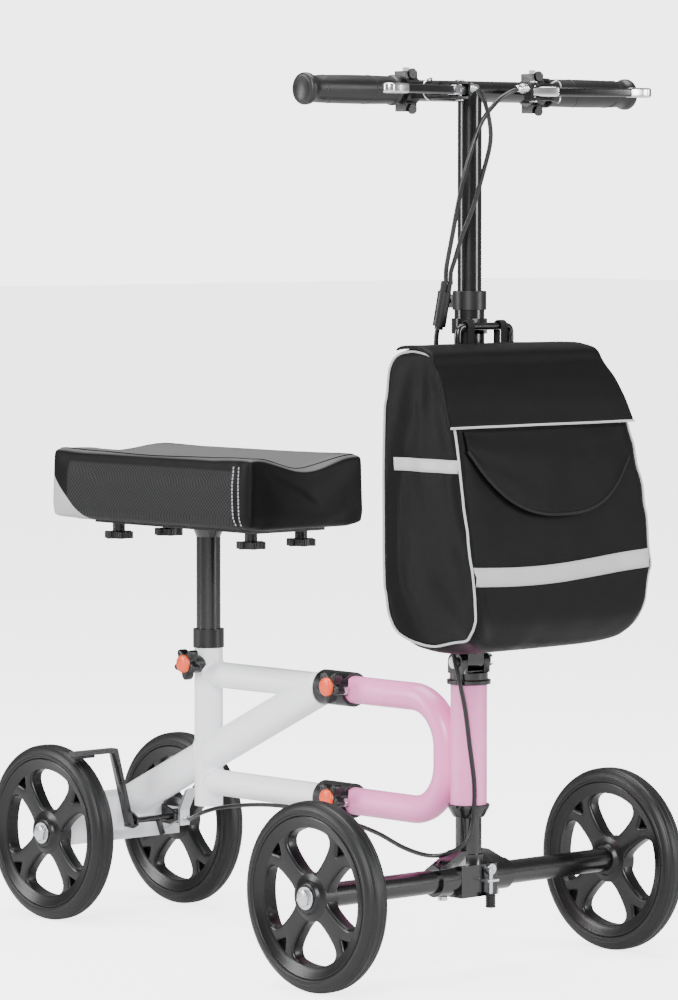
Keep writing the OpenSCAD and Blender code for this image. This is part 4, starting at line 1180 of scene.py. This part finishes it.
class SCOOTER_OT_pad(ScooterOperator, bpy.types.Operator):
    """Simulate the stuffed knee pad and sew its seams"""

    bl_idname = "scooter.pad"
    bl_label = "Knee pad"

    # the upright seam on each long side: its place behind the front edge, and its lean
    SEAM_IN = 0.014
    SEAM_LEAN = 0.06

    def build(self):
        low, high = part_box("seat_pad")
        size = high - low
        inset = 0.0045
        form = bmesh.new()
        bmesh.ops.create_cube(form, size=1)
        bmesh.ops.scale(form, vec=(size.x - 2 * inset, size.y - 2 * inset, size.z - 1.5 * inset),
                        verts=form.verts[:])
        bmesh.ops.translate(form, vec=((low + high) / 2), verts=form.verts[:])
        bmesh.ops.bevel(form, geom=form.edges[:], offset=0.0055, segments=3, profile=0.5, affect="EDGES",
                        material=-1)
        pad = add_piece("knee_pad", form, pad_cover(), None, sharp=180)
        base = low.z + 0.006
        simulate(pad, sizes().pad_voxel, 4.0, 0.0022, pinned=lambda co: co.z < base and abs(co.x) < 0.06)
        smoothed(pad.data, 1)
        fitted(pad.data, low - Vector((0.006, 0.008, 0)), high + Vector((0.006, 0.008, 0.003)))
        self.press_trough(pad.data, low, high)
        self.pull_seams(pad.data, low, high)
        add_subdivision(pad)
        pad.data.set_sharp_from_angle(angle=math.pi)
        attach(pad, "seat")
        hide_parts("seat_pad")
        tree = surface_tree(baked(pad))
        self.stitches(tree, low)
        self.seam_cord(tree, low, high)
        self.under_board(low, high)

    def press_trough(self, mesh, low, high):
        """Lowers the middle of the top, with a firm rim at each long side."""
        depth = sizes().pad_trough
        for vertex in mesh.vertices:
            co = vertex.co
            share = max(0.0, min(1.0, (co.z - low.z) / (high.z - low.z)))
            across = min(1.0, abs(co.x) / (high.x * 0.86))
            dip = (math.cos(math.pi * across) + 1) / 2
            rear = max(0.0, min(1.0, (high.y - 0.012 - co.y) / 0.05))
            co.z -= depth * dip * share ** 2 * (0.35 + 0.65 * rear)
            co.z = min(co.z, high.z + 0.001)

    def pull_seams(self, mesh, low, high):
        """Draws the cloth in along the sewn lines and adds the slack between them."""
        seam_y = low.y + self.SEAM_IN
        for vertex in mesh.vertices:
            co = vertex.co
            if abs(co.x) > high.x - 0.02:
                groove = math.exp(-((co.y - seam_y - (co.z - low.z) * self.SEAM_LEAN) / 0.0035) ** 2)
                co.x -= math.copysign(0.0016 * groove, co.x)
                slack = noise.noise(Vector((co.y * 30, co.z * 14, 3.0)))
                co.x += math.copysign(0.0007 * slack, co.x)
            if co.y < low.y + 0.02:
                co.y += 0.0008 * noise.noise(Vector((co.x * 26, co.z * 12, 8.0)))
            lip = math.exp(-((co.z - low.z - 0.009) / 0.003) ** 2)
            middle_y = (low.y + high.y) / 2
            if co.z < low.z + 0.03:
                co.x -= co.x * 0.012 * lip
                co.y -= (co.y - middle_y) * 0.006 * lip
        mesh.update()

    def stitches(self, tree, low):
        """Two rows of short stitches beside the seam at the front end of each long side."""
        rows = bmesh.new()
        for sign in SIDES.values():
            for offset in (-0.0042, 0.0045):
                for i in range(17):
                    z = low.z + 0.008 + i * 0.00385
                    y = low.y + self.SEAM_IN + offset + (z - low.z) * self.SEAM_LEAN
                    spot, normal = put_on(tree, (sign * 0.2, y, z), (-sign, 0, 0), 0.00035)
                    made = bmesh.ops.create_cube(rows, size=1)
                    face = normal.to_track_quat("X", "Z").to_matrix().to_4x4()
                    grow = Matrix.Diagonal((0.0009, 0.0016, 0.0029, 1))
                    bmesh.ops.transform(rows, matrix=Matrix.Translation(spot) @ face @ grow,
                                        verts=made["verts"])
                    edges = list({e for v in made["verts"] for e in v.link_edges})
                    bmesh.ops.bevel(rows, geom=edges, offset=0.0003, segments=2, profile=0.5, affect="EDGES",
                                    material=-1)
        add_piece("pad_stitching", rows, thread_finish(), "seat")

    def seam_cord(self, tree, low, high):
        """The thin welt where the top panel meets the sides."""
        line = []
        corners = [(1, 1), (-1, 1), (-1, -1), (1, -1)]
        reach_x, reach_y = high.x - 0.0125, (high.y - low.y) / 2 - 0.0125
        cy = (low.y + high.y) / 2
        for i, (sx, sy) in enumerate(corners):
            nx, ny = corners[(i + 1) % 4]
            start = Vector((sx * reach_x, cy + sy * reach_y, 0))
            end = Vector((nx * reach_x, cy + ny * reach_y, 0))
            count = max(2, round((end - start).length / 0.006))
            for k in range(count):
                spot = start.lerp(end, k / count)
                away = Vector((spot.x, spot.y - cy, 0)).normalized()
                origin = Vector((spot.x, spot.y, high.z)) + away * 0.05 + Vector((0, 0, 0.05))
                aim = (Vector((spot.x, spot.y, high.z - 0.012)) - origin).normalized()
                on, _ = put_on(tree, origin, aim, 0.0)
                line.append(on)
        add_piece("pad_welt", swept(line, 0.0009, 8, cyclic=True), pad_cover(), "seat")

    def under_board(self, low, high):
        """The board that closes the pad underneath."""
        board = bmesh.new()
        outline = []
        for sx, sy, start in ((1, 1, 0), (-1, 1, 90), (-1, -1, 180), (1, -1, 270)):
            cx = sx * (high.x / MM - 27)
            cy = (low.y + high.y) / 2 / MM + sy * ((high.y - low.y) / 2 / MM - 27)
            outline += arc((cx, cy), 12, start, start + 90, 6)
        flat_form(board, [outline], 1.6, 0.5, Matrix.Translation((0, 0, low.z + 0.0004)), steps=2)
        settle(board)
        add_piece("pad_board", board, lining_cloth(), "seat")


class SCOOTER_OT_bag(ScooterOperator, bpy.types.Operator):
    """Simulate the sagging bag and add its flap, piping, bands and straps"""

    bl_idname = "scooter.bag"
    bl_label = "Front bag"

    # half widths of the bag by height, at the right and at the left
    WIDTHS = [(358, 112, 100), (372, 122, 112), (400, 128, 124), (440, 131, 131), (520, 131, 131),
              (580, 130, 124), (615, 129, 116), (640, 127, 110), (668, 124, 100)]

    def outline(self):
        """Side view of the bag, in millimetres from the steering axis, from the back's foot upwards."""
        back, front, top = -19.6, -138, 661
        rise = [(back, 396 + i * 24) for i in range(10)] + arc((back - 24, top - 24), 24, 0, 90, 6)
        slope = [(-60, top + 0.5), (-76, top - 4), (-90, top - 14), (-101, top - 30), (-109, top - 52),
                 (-116, top - 78), (-122, top - 106), (-128, top - 146), (-134, top - 186),
                 (front, top - 222)]
        foot = arc((front + 36, 402), 36, 180, 245, 6) + [(-80, 363), (-60, 364)]
        return rise + slope + foot + arc((back - 32, 396), 31, 275, 350, 5)

    def half_width(self, z, sign):
        rows = self.WIDTHS
        z = z / MM
        for low, high in zip(rows, rows[1:]):
            if z <= high[0]:
                share = max(0.0, min(1.0, (z - low[0]) / (high[0] - low[0])))
                column = 1 if sign < 0 else 2
                return (low[column] + (high[column] - low[column]) * share) * MM
        return rows[-1][1 if sign < 0 else 2] * MM

    def shell(self):
        """The outline carried across from side to side, rounded in at both ends."""
        bm = bmesh.new()
        points = self.outline()
        centre_y = sum(p[0] for p in points) / len(points)
        centre_z = sum(p[1] for p in points) / len(points)
        stations = [(-1.0, 0.955), (-0.985, 0.98), (-0.95, 0.996), (-0.6, 1), (-0.2, 1), (0.2, 1), (0.6, 1),
                    (0.95, 0.996), (0.985, 0.98), (1.0, 0.955)]
        start, scale = stations[0]
        ring = [bm.verts.new(from_axis(start, centre_y + (y - centre_y) * scale,
                                       centre_z + (z - centre_z) * scale)) for y, z in points]
        edges = [bm.edges.new((ring[i - 1], ring[i])) for i in range(len(ring))]
        bm.faces.new(ring)
        shares = {v: start for v in ring}
        for share, scale in stations[1:]:
            made = bmesh.ops.extrude_edge_only(bm, edges=edges)["geom"]
            ring = [g for g in made if isinstance(g, bmesh.types.BMVert)]
            edges = [g for g in made if isinstance(g, bmesh.types.BMEdge) and all(v in ring for v in g.verts)]
            last = stations[stations.index((share, scale)) - 1][1]
            for v in ring:
                shares[v] = share
                v.co.y = STEER_Y + centre_y * MM + (v.co.y - STEER_Y - centre_y * MM) * scale / last
                v.co.z = centre_z * MM + (v.co.z - centre_z * MM) * scale / last
        bmesh.ops.edgeloop_fill(bm, edges=edges)
        for v, share in shares.items():
            v.co.x = share * (self.half_width(v.co.z, share) - 0.003)
        bmesh.ops.triangulate(bm, faces=[f for f in bm.faces if len(f.verts) > 4])
        bmesh.ops.recalc_face_normals(bm, faces=bm.faces[:])
        return bm

    def build(self):
        shell = add_piece("bag_body", self.shell(), bag_cloth(), None, sharp=180)
        back = STEER_Y - 0.024
        simulate(shell, sizes().bag_voxel, 1.6, 0.009, gravity=0.35, stiffness=8.0,
                 pinned=lambda co: co.y > back or co.z > 0.652)
        smoothed(shell.data, 2)
        fitted(shell.data, from_axis(-137, -145, 349), from_axis(135, -11, 668))
        for vertex in shell.data.vertices:
            clear = max(0.0, 1 - abs(vertex.co.x) / 0.05)
            vertex.co.y = min(vertex.co.y, STEER_Y - 0.011 - 0.0075 * min(1.0, clear * 1.6))
        self.fold_cloth(shell.data)
        add_subdivision(shell)
        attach(shell, "column")
        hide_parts("bag")
        tree = surface_tree(baked(shell))
        self.piping(tree)
        self.lid(tree)
        self.front_trim(tree)
        self.flap(tree)
        self.side_trim(tree)
        self.straps()

    def fold_cloth(self, mesh):
        """Soft folds in the side walls and the front, and fuller side pockets."""
        depth = sizes().bag_folds
        for vertex in mesh.vertices:
            co = vertex.co
            side = max(0.0, min(1.0, (abs(co.x) - 0.08) / 0.03))
            y, z = co.y - STEER_Y, co.z
            slant = y * 16 - z * 9
            fold = noise.noise(Vector((slant, z * 4.0, co.x * 2)))
            fine = noise.noise(Vector((slant * 3.2 + 5, z * 13, 2.0)))
            inner = max(0.0, min(1.0, min(z - 0.375, 0.655 - z) / 0.03)) \
                * max(0.0, min(1.0, min(-y - 0.028, y + 0.132) / 0.02))
            push = side * inner * depth * (1.5 * fold + 0.5 * fine)
            pocket = side * inner * 0.0022 * max(0.0, min(1.0, (0.545 - z) / 0.004))
            co.x += math.copysign(push + pocket, co.x)
            front = max(0.0, min(1.0, (-y - 0.095) / 0.02)) * max(0.0, min(1.0, (0.126 - abs(co.x)) / 0.02))
            fine_ripple = noise.noise(Vector((co.x * 30, z * 34, 9.0)))
            ripple = noise.noise(Vector((co.x * 9, z * 16, 5.0))) + 0.4 * fine_ripple
            co.y -= front * 0.0022 * ripple
        mesh.update()

    def piping(self, tree):
        """A light cord sewn round each side panel, hidden where the lid hangs over it."""
        meshes = []
        points = self.outline()
        outline = smooth_path([Vector((0, y, z)) for y, z in points + [points[0]]], 6)[:-1]
        centre = Vector((0, -78, 510))
        for sign in SIDES.values():
            line = []
            for point in outline:
                reach = self.half_width(point.z * MM, sign) + 0.022
                away = (Vector((0, point.y, point.z)) - centre).normalized() * 20
                aim = from_axis(0, point.y + away.y, point.z + away.z)
                aim.x = sign * reach
                spot, _, _, _ = tree.find_nearest(aim)
                line.append(spot)
            for _ in range(3):
                line = [(line[i - 1] + line[i] * 2 + line[(i + 1) % len(line)]) / 4 for i in range(len(line))]
            run = []
            for point in line:
                spot, normal, _, _ = tree.find_nearest(point)
                run.append(spot + normal * 0.0011)
            meshes.append(swept(run, 0.0014, 8, cyclic=True))
        add_piece("bag_piping", joined(meshes), reflective_tape(), "column")

    def lid(self, tree):
        """The lid's cloth: from the back over the top and down the front, hanging past both sides."""
        profile = [(-30, 669, 80), (-40, 669, 86), (-50, 669, 88), (-64, 668, 84), (-78, 664, 68),
                   (-90, 655, 52), (-100, 642, 38), (-108, 626, 28), (-115, 608, 20), (-121, 588, 14)]
        rows = smooth_path([Vector(p) for p in profile], 6)
        columns = [-1.03, -1.015] + [-1 + 2 * i / 36 for i in range(37)] + [1.003, 1.006]
        bm = bmesh.new()
        grid = []
        for row in rows:
            lean = math.radians(row.z)
            away = Vector((0, -math.cos(lean), math.sin(lean)))
            line = []
            for share in columns:
                x = share * (self.half_width(row.y * MM, share) * 1.04 + 0.001)
                origin = from_axis(0, row.x, row.y) + away * 0.06
                origin.x = max(-0.108, min(0.098, x))
                spot, _, _, _ = tree.ray_cast(origin, -away)
                spot = spot if spot is not None else origin - away * 0.06
                drop = 0.003 if share in (columns[0], columns[-1]) else 0.0
                ripple = 0.0008 * noise.noise(Vector((x * 22, row.y * 0.05, 2.0)))
                co = spot + away * (0.0016 + ripple - drop)
                co.x = x
                line.append(bm.verts.new(co))
            grid.append(line)
        for i in range(len(grid) - 1):
            for j in range(len(columns) - 1):
                bm.faces.new((grid[i][j], grid[i][j + 1], grid[i + 1][j + 1], grid[i + 1][j]))
        bmesh.ops.recalc_face_normals(bm, faces=bm.faces[:])
        piece = self.sheet("bag_lid", bm, bag_cloth(), 0.0022)
        add_subdivision(piece)
        edge = [v.co.copy() for v in piece.data.vertices][-len(columns):]
        add_piece("bag_lid_piping", swept([p - Vector((0, 0.0012, 0)) for p in edge[1:-1]], 0.0014, 8),
                  reflective_tape(), "column")

    def patch(self, tree, corners_of, columns, rows, lift, direction):
        """A grid laid on the bag: corners_of gives the start of a ray for shares across and up."""
        bm = bmesh.new()
        made = bmesh.ops.create_grid(bm, x_segments=columns, y_segments=rows, size=0.5)
        for v in made["verts"]:
            across, up = v.co.x + 0.5, v.co.y + 0.5
            origin, more = corners_of(across, up)
            spot, _ = self.facing(tree, origin, direction)
            v.co = spot - Vector(direction) * (lift + more)
        bmesh.ops.recalc_face_normals(bm, faces=bm.faces[:])
        face = bm.faces[:][len(bm.faces) // 2]
        if face.normal.dot(Vector(direction)) > 0:
            bmesh.ops.reverse_faces(bm, faces=bm.faces[:])
        return bm

    def facing(self, tree, origin, direction):
        """Where a ray meets the bag, moved in from the edge until it meets a part that faces it."""
        aim, middle_line = Vector(origin), from_axis(0, -78, 0)
        for _ in range(12):
            spot, normal = put_on(tree, aim, direction, 0.0)
            if abs(normal.dot(Vector(direction))) > 0.45:
                break
            axis = 0 if abs(direction[1]) > 0.5 else 1
            aim[axis] += (middle_line[axis] - aim[axis]) * 0.02
        return spot, normal

    def sheet(self, name, bm, material, thickness):
        piece = add_piece(name, bm, material, "column", sharp=60)
        wall = piece.modifiers.new("Cloth", "SOLIDIFY")
        wall.thickness = thickness
        wall.offset = 0
        return piece

    def front_trim(self, tree):
        """The reflective band low on the front."""
        ahead = STEER_Y - 0.3

        def band(across, up):
            x = -0.131 + across * 0.262
            sag = 0.004 * math.sin(across * math.pi * 1.4)
            return Vector((x, ahead, 0.4255 + 0.0195 * up + 0.004 * across - sag)), 0.0
        strip = self.patch(tree, band, 60, 4, 0.0007, (0, 1, 0))
        self.sheet("bag_band", strip, reflective_tape(), 0.0008)

    def flap(self, tree):
        """The rounded pocket flap under the lid, a little proud of the front."""
        ahead = STEER_Y - 0.3

        def place(across, up):
            x = -0.1215 + across * 0.2335
            t = (across - 0.52) / 0.5
            foot = 0.4945 + 0.062 * abs(t) ** 2.6
            top = 0.5835
            z = foot + (top - foot) * up
            belly = 0.006 * math.sin(math.pi * across) * (1 - up) + 0.0016 * noise.noise(
                Vector((across * 5, up * 4, 3.3)))
            return Vector((x, ahead, z)), max(-0.001, belly)
        form = self.patch(tree, place, 48, 18, 0.0022, (0, 1, 0))
        piece = self.sheet("bag_flap", form, bag_cloth(), 0.0022)
        add_subdivision(piece)
        edge = []
        for i in range(61):
            origin, more = place(i / 60, 0.0)
            spot, _ = put_on(tree, origin, (0, 1, 0), 0.0)
            edge.append(spot - Vector((0, 1, 0)) * (0.0028 + more))
        add_piece("bag_flap_binding", swept(edge, 0.0016, 8), lining_cloth(), "column")

    def side_trim(self, tree):
        """The light band along the top of each side pocket."""
        for side, sign in SIDES.items():
            def band(across, up, sign=sign):
                return from_axis(sign * 300, -122 + across * 94, 540.5 + 13.5 * up), 0.0
            strip = self.patch(tree, band, 30, 3, 0.0008, (-sign, 0, 0))
            self.sheet("bag_side_band_" + side, strip, reflective_tape(), 0.0009)

    def straps(self):
        """Two webbing loops that hang from the hanger's rod behind the bag."""
        low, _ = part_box("bag_hanger")
        rod_y = low.y + 0.004
        loops = bmesh.new()
        outer = arc((0, 0), 6.6, -20, 200, 16) + [(-6.2, -24), (-5.6, -34), (5.6, -34), (6.2, -24)]
        inner = arc((0, 0), 4.9, -20, 200, 16) + [(-4.6, -22), (-3.6, -30), (3.6, -30), (4.6, -22)]
        for sign in SIDES.values():
            place = Matrix.Translation((sign * STRAP_X * MM, rod_y, ROD_Z * MM)) @ UPRIGHT
            flat_form(loops, [outer, inner], 9, 0.5, place, steps=2)
        settle(loops)
        add_piece("bag_straps", loops, lining_cloth(), "column", sharp=50)


class SCOOTER_OT_cables(ScooterOperator, bpy.types.Operator):
    """Lay the brake cables and the brake's inner wire"""

    bl_idname = "scooter.cables"
    bl_label = "Brake cables"

    RIGHT = [(-35.6, -41, 937), (-30, -42, 936), (-24, -46, 925), (-19, -49, 905), (-14, -46, 881),
             (-17, -38, 848), (-22, -28, 812), (-27, -17, 783), (-30, -8, 755), (-31, -4, 744),
             (-31, -4, 731)]
    LEFT = [(35.6, -41, 937), (28, -42, 936), (14, -42, 931), (0, -40, 922), (-14, -34, 903), (-26, -31, 875),
            (-34, -26, 842), (-38, -20, 807), (-38, -12, 777), (-38, -6, 755), (-38, -4, 744), (-38, -4, 731)]
    DOWN = [(-40, 7, 683.5), (-40, 9, 668), (-38, 10, 620), (-34, 8, 540), (-31, 4, 450), (-29, 0, 380),
            (-28, -6, 340), (-26, -14, 309), (-22, -18, 280), (-18, -20, 245)]
    BACK = [(-18, -20, 245), (-14, -23, 205), (-14, -23, 178), (-16, -22, 158), (-22, -20, 142),
            (-29, -13, 134), (-36, -2, 128), (-39, 14, 125), (-37, 38, 125), (-33, 70, 129),
            (-28, 110, 138), (-24, 152, 144), (-22, 205, 149), (-19, 265, 152), (-18, 323, 149),
            (-14, 385, 140), (-8, 425, 130), (2, 452, 121), (10, 468, 117), (14, 476, 116), (14, 481.8, 116)]
    WIRE = [(14, 486.2, 116), (14, 502, 108.5), (14, 519.5, 100)]
    HOUSING_WIDTH = 0.005
    WIRE_WIDTH = 0.0016

    def lay(self, name, route, width, bodies, start, end, material, slot, node, step=0.006):
        """One run of cable that bends between two bodies."""
        line = smooth_path([from_axis(*p) for p in route], step)
        mesh = swept(line, width / 2, 12)
        piece = add_piece(name, mesh, material, None, [node], 60)
        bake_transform(piece, *bodies, start=from_axis(*start), end=from_axis(*end))
        return line

    def build(self):
        cover = cable_cover()
        right = self.lay("brake_cable_right", self.RIGHT, self.HOUSING_WIDTH, ("bar", "column"),
                         (0, -20, 925), (0, -20, 750), cover, "black_plastic", "cable_right")
        left = self.lay("brake_cable_left", self.LEFT, self.HOUSING_WIDTH, ("bar", "column"), (0, -20, 925),
                        (0, -20, 750), cover, "black_plastic", "cable_left")
        self.lay("brake_cable_down", self.DOWN, self.HOUSING_WIDTH, ("column", "steerer"), (-28, -10, 400),
                 (-24, -10, 270), cover, "black_plastic", "cable_rear")
        back = self.lay("brake_cable_back", self.BACK, self.HOUSING_WIDTH, ("steerer", "frame"),
                        (-29, -8, 130), (-26, 150, 130), cover, "black_plastic", "cable_rear")
        self.lay("brake_wire_bare", self.WIRE, self.WIRE_WIDTH, ("frame", "brake"), (14, 490, 114),
                 (14, 517, 101), zinc(), "zinc", "brake_wire", 0.003)
        self.ferrules(right[0], left[0], back[-1])
        self.tie()

    def ferrules(self, right, left, back):
        """Metal end caps where each housing seats, with a rolled lip."""
        caps = bmesh.new()
        line = [(-1.5, 2.4), (-1.5, 3.3), (-0.9, 3.5), (6.4, 3.5), (7.4, 3.1), (7.8, 2.6)]
        turn = Matrix.Rotation(math.pi, 4, "Z")
        revolve(caps, line, Matrix.Translation(right), steps=28)
        revolve(caps, line, Matrix.Translation(left) @ turn, steps=28)
        settle(caps)
        add_piece("lever_ferrules", caps, alloy(), "bar", sharp=40)
        end = bmesh.new()
        revolve(end, line, Matrix.Translation(back) @ Matrix.Rotation(-math.pi / 2, 4, "Z"), steps=28)
        settle(end)
        add_piece("stop_ferrule", end, alloy(), "frame", sharp=40)

    def tie(self):
        """The tie that holds the cable to the rear tube."""
        tie = bmesh.new()
        place = from_axis(-23, 190, 148)
        revolve(tie, [(-2.2, 2.6), (-2.2, 4.0), (-1.6, 4.4), (1.6, 4.4), (2.2, 4.0), (2.2, 2.6)],
                Matrix.Translation(place) @ Matrix.Rotation(math.pi / 2, 4, "Z"), steps=24)
        settle(tie)
        add_piece("cable_tie", tie, black_plastic(), "frame", sharp=40)


class SCOOTER_OT_stage(ScooterOperator, bpy.types.Operator):
    """Set the pale floor, the soft lights and the camera"""

    bl_idname = "scooter.stage"
    bl_label = "Floor, lights and camera"

    LIGHTS = (
        ("Key", (-3.4, -3.0, 2.6), 1.6, 2.6, 300),
        ("Fill", (2.6, -4.4, 1.6), 1.2, 2.6, 140),
        ("Rim", (-3.2, 2.4, 1.8), 0.9, 2.6, 130),
        ("Top", (0.0, 0.2, 3.2), 2.6, 2.6, 150),
    )

    # brightness of the sky as light and as seen behind the scooter, and of the floor as seen
    SKY_LIGHT = 0.3
    SKY_SEEN = 4.2
    FLOOR_SEEN = 3.2
    CAMERA_AT = (-3.5723, -4.0064, 0.8275)
    CAMERA_AIM = (-0.1022, -0.1794, 0.5025)
    LENS = 175.8

    def build(self):
        floor = bmesh.new()
        bmesh.ops.create_grid(floor, x_segments=2, y_segments=2, size=30)
        plane = add_piece("floor", floor, self.floor_finish(), None)
        for name, place, wide, high, power in self.LIGHTS:
            lamp = bpy.data.lights.new(name, "AREA")
            lamp.shape = "RECTANGLE"
            lamp.size, lamp.size_y, lamp.energy = wide, high, power
            holder = bpy.data.objects.new(name, lamp)
            holder.location = place
            holder.rotation_euler = (Vector((0, 0, 0.45)) - Vector(place)).to_track_quat("-Z", "Y").to_euler()
            bpy.context.scene.collection.objects.link(holder)
        world = bpy.data.worlds.new("Studio")
        world.use_nodes = True
        tree = world.node_tree
        sky = next(n for n in tree.nodes if n.type == "BACKGROUND")
        ray = add_node(tree, "ShaderNodeLightPath").outputs["Is Camera Ray"]
        tree.links.new(maths(tree, "MULTIPLY_ADD", ray, self.SKY_SEEN - self.SKY_LIGHT, self.SKY_LIGHT),
                       sky.inputs["Strength"])
        sky.inputs["Color"].default_value = (1.0, 1.0, 1.0, 1.0)
        bpy.context.scene.world = world
        self.camera()

    def floor_finish(self):
        material = hard_finish("Pale floor", (0.85, 0.85, 0.855), 0.8, grain=30, bump=0.00002,
                               variation=0.004, wear=0.0, dust=0.0, specular=0.1)
        tree = material.node_tree
        shader = next(n for n in tree.nodes if n.type == "BSDF_PRINCIPLED")
        ray = add_node(tree, "ShaderNodeLightPath").outputs["Is Camera Ray"]
        tree.links.new(maths(tree, "MULTIPLY", ray, self.FLOOR_SEEN), shader.inputs["Emission Strength"])
        shader.inputs["Emission Color"].default_value = (1.0, 1.0, 1.0, 1.0)
        return material

    def camera(self):
        """Looks at the scooter from its front right, from a little below the bar."""
        lens = bpy.data.cameras.new("Camera")
        lens.lens = self.LENS
        lens.sensor_width = 36
        lens.clip_end = 100
        holder = bpy.data.objects.new("Camera", lens)
        holder.location = self.CAMERA_AT
        aim = Vector(self.CAMERA_AIM) - holder.location
        holder.rotation_euler = aim.to_track_quat("-Z", "Y").to_euler()
        bpy.context.scene.collection.objects.link(holder)
        bpy.context.scene.camera = holder


class SCOOTER_PT_panel(bpy.types.Panel):
    """Lists the scooter's settings and its pieces"""

    bl_idname = "SCOOTER_PT_panel"
    bl_label = "Knee Scooter"
    bl_space_type = "VIEW_3D"
    bl_region_type = "UI"
    bl_category = "Scooter"

    def draw(self, context):
        layout = self.layout
        for group in (context.scene.scooter_sizes, context.scene.scooter_colours):
            box = layout.box()
            for name in group.__annotations__:
                box.prop(group, name)
        for operator in OPERATORS:
            layout.operator(operator.bl_idname)


OPERATORS = (SCOOTER_OT_frame, SCOOTER_OT_wheels, SCOOTER_OT_knobs, SCOOTER_OT_clamps, SCOOTER_OT_bar,
             SCOOTER_OT_cables, SCOOTER_OT_pad, SCOOTER_OT_bag, SCOOTER_OT_stage)
CLASSES = (ScooterSizes, ScooterColours, *OPERATORS, SCOOTER_PT_panel)


def register():
    for cls in CLASSES:
        bpy.utils.register_class(cls)
    bpy.types.Scene.scooter_sizes = PointerProperty(type=ScooterSizes)
    bpy.types.Scene.scooter_colours = PointerProperty(type=ScooterColours)


def unregister():
    del bpy.types.Scene.scooter_sizes
    del bpy.types.Scene.scooter_colours
    for cls in reversed(CLASSES):
        bpy.utils.unregister_class(cls)


def main():
    register()
    bpy.ops.scooter.frame()
    bpy.ops.scooter.wheels()
    bpy.ops.scooter.knobs()
    bpy.ops.scooter.clamps()
    bpy.ops.scooter.bar()
    bpy.ops.scooter.cables()
    bpy.ops.scooter.pad()
    bpy.ops.scooter.bag()
    bpy.ops.scooter.stage()
    bpy.context.view_layer.update()


if __name__ == "__main__":
    main()
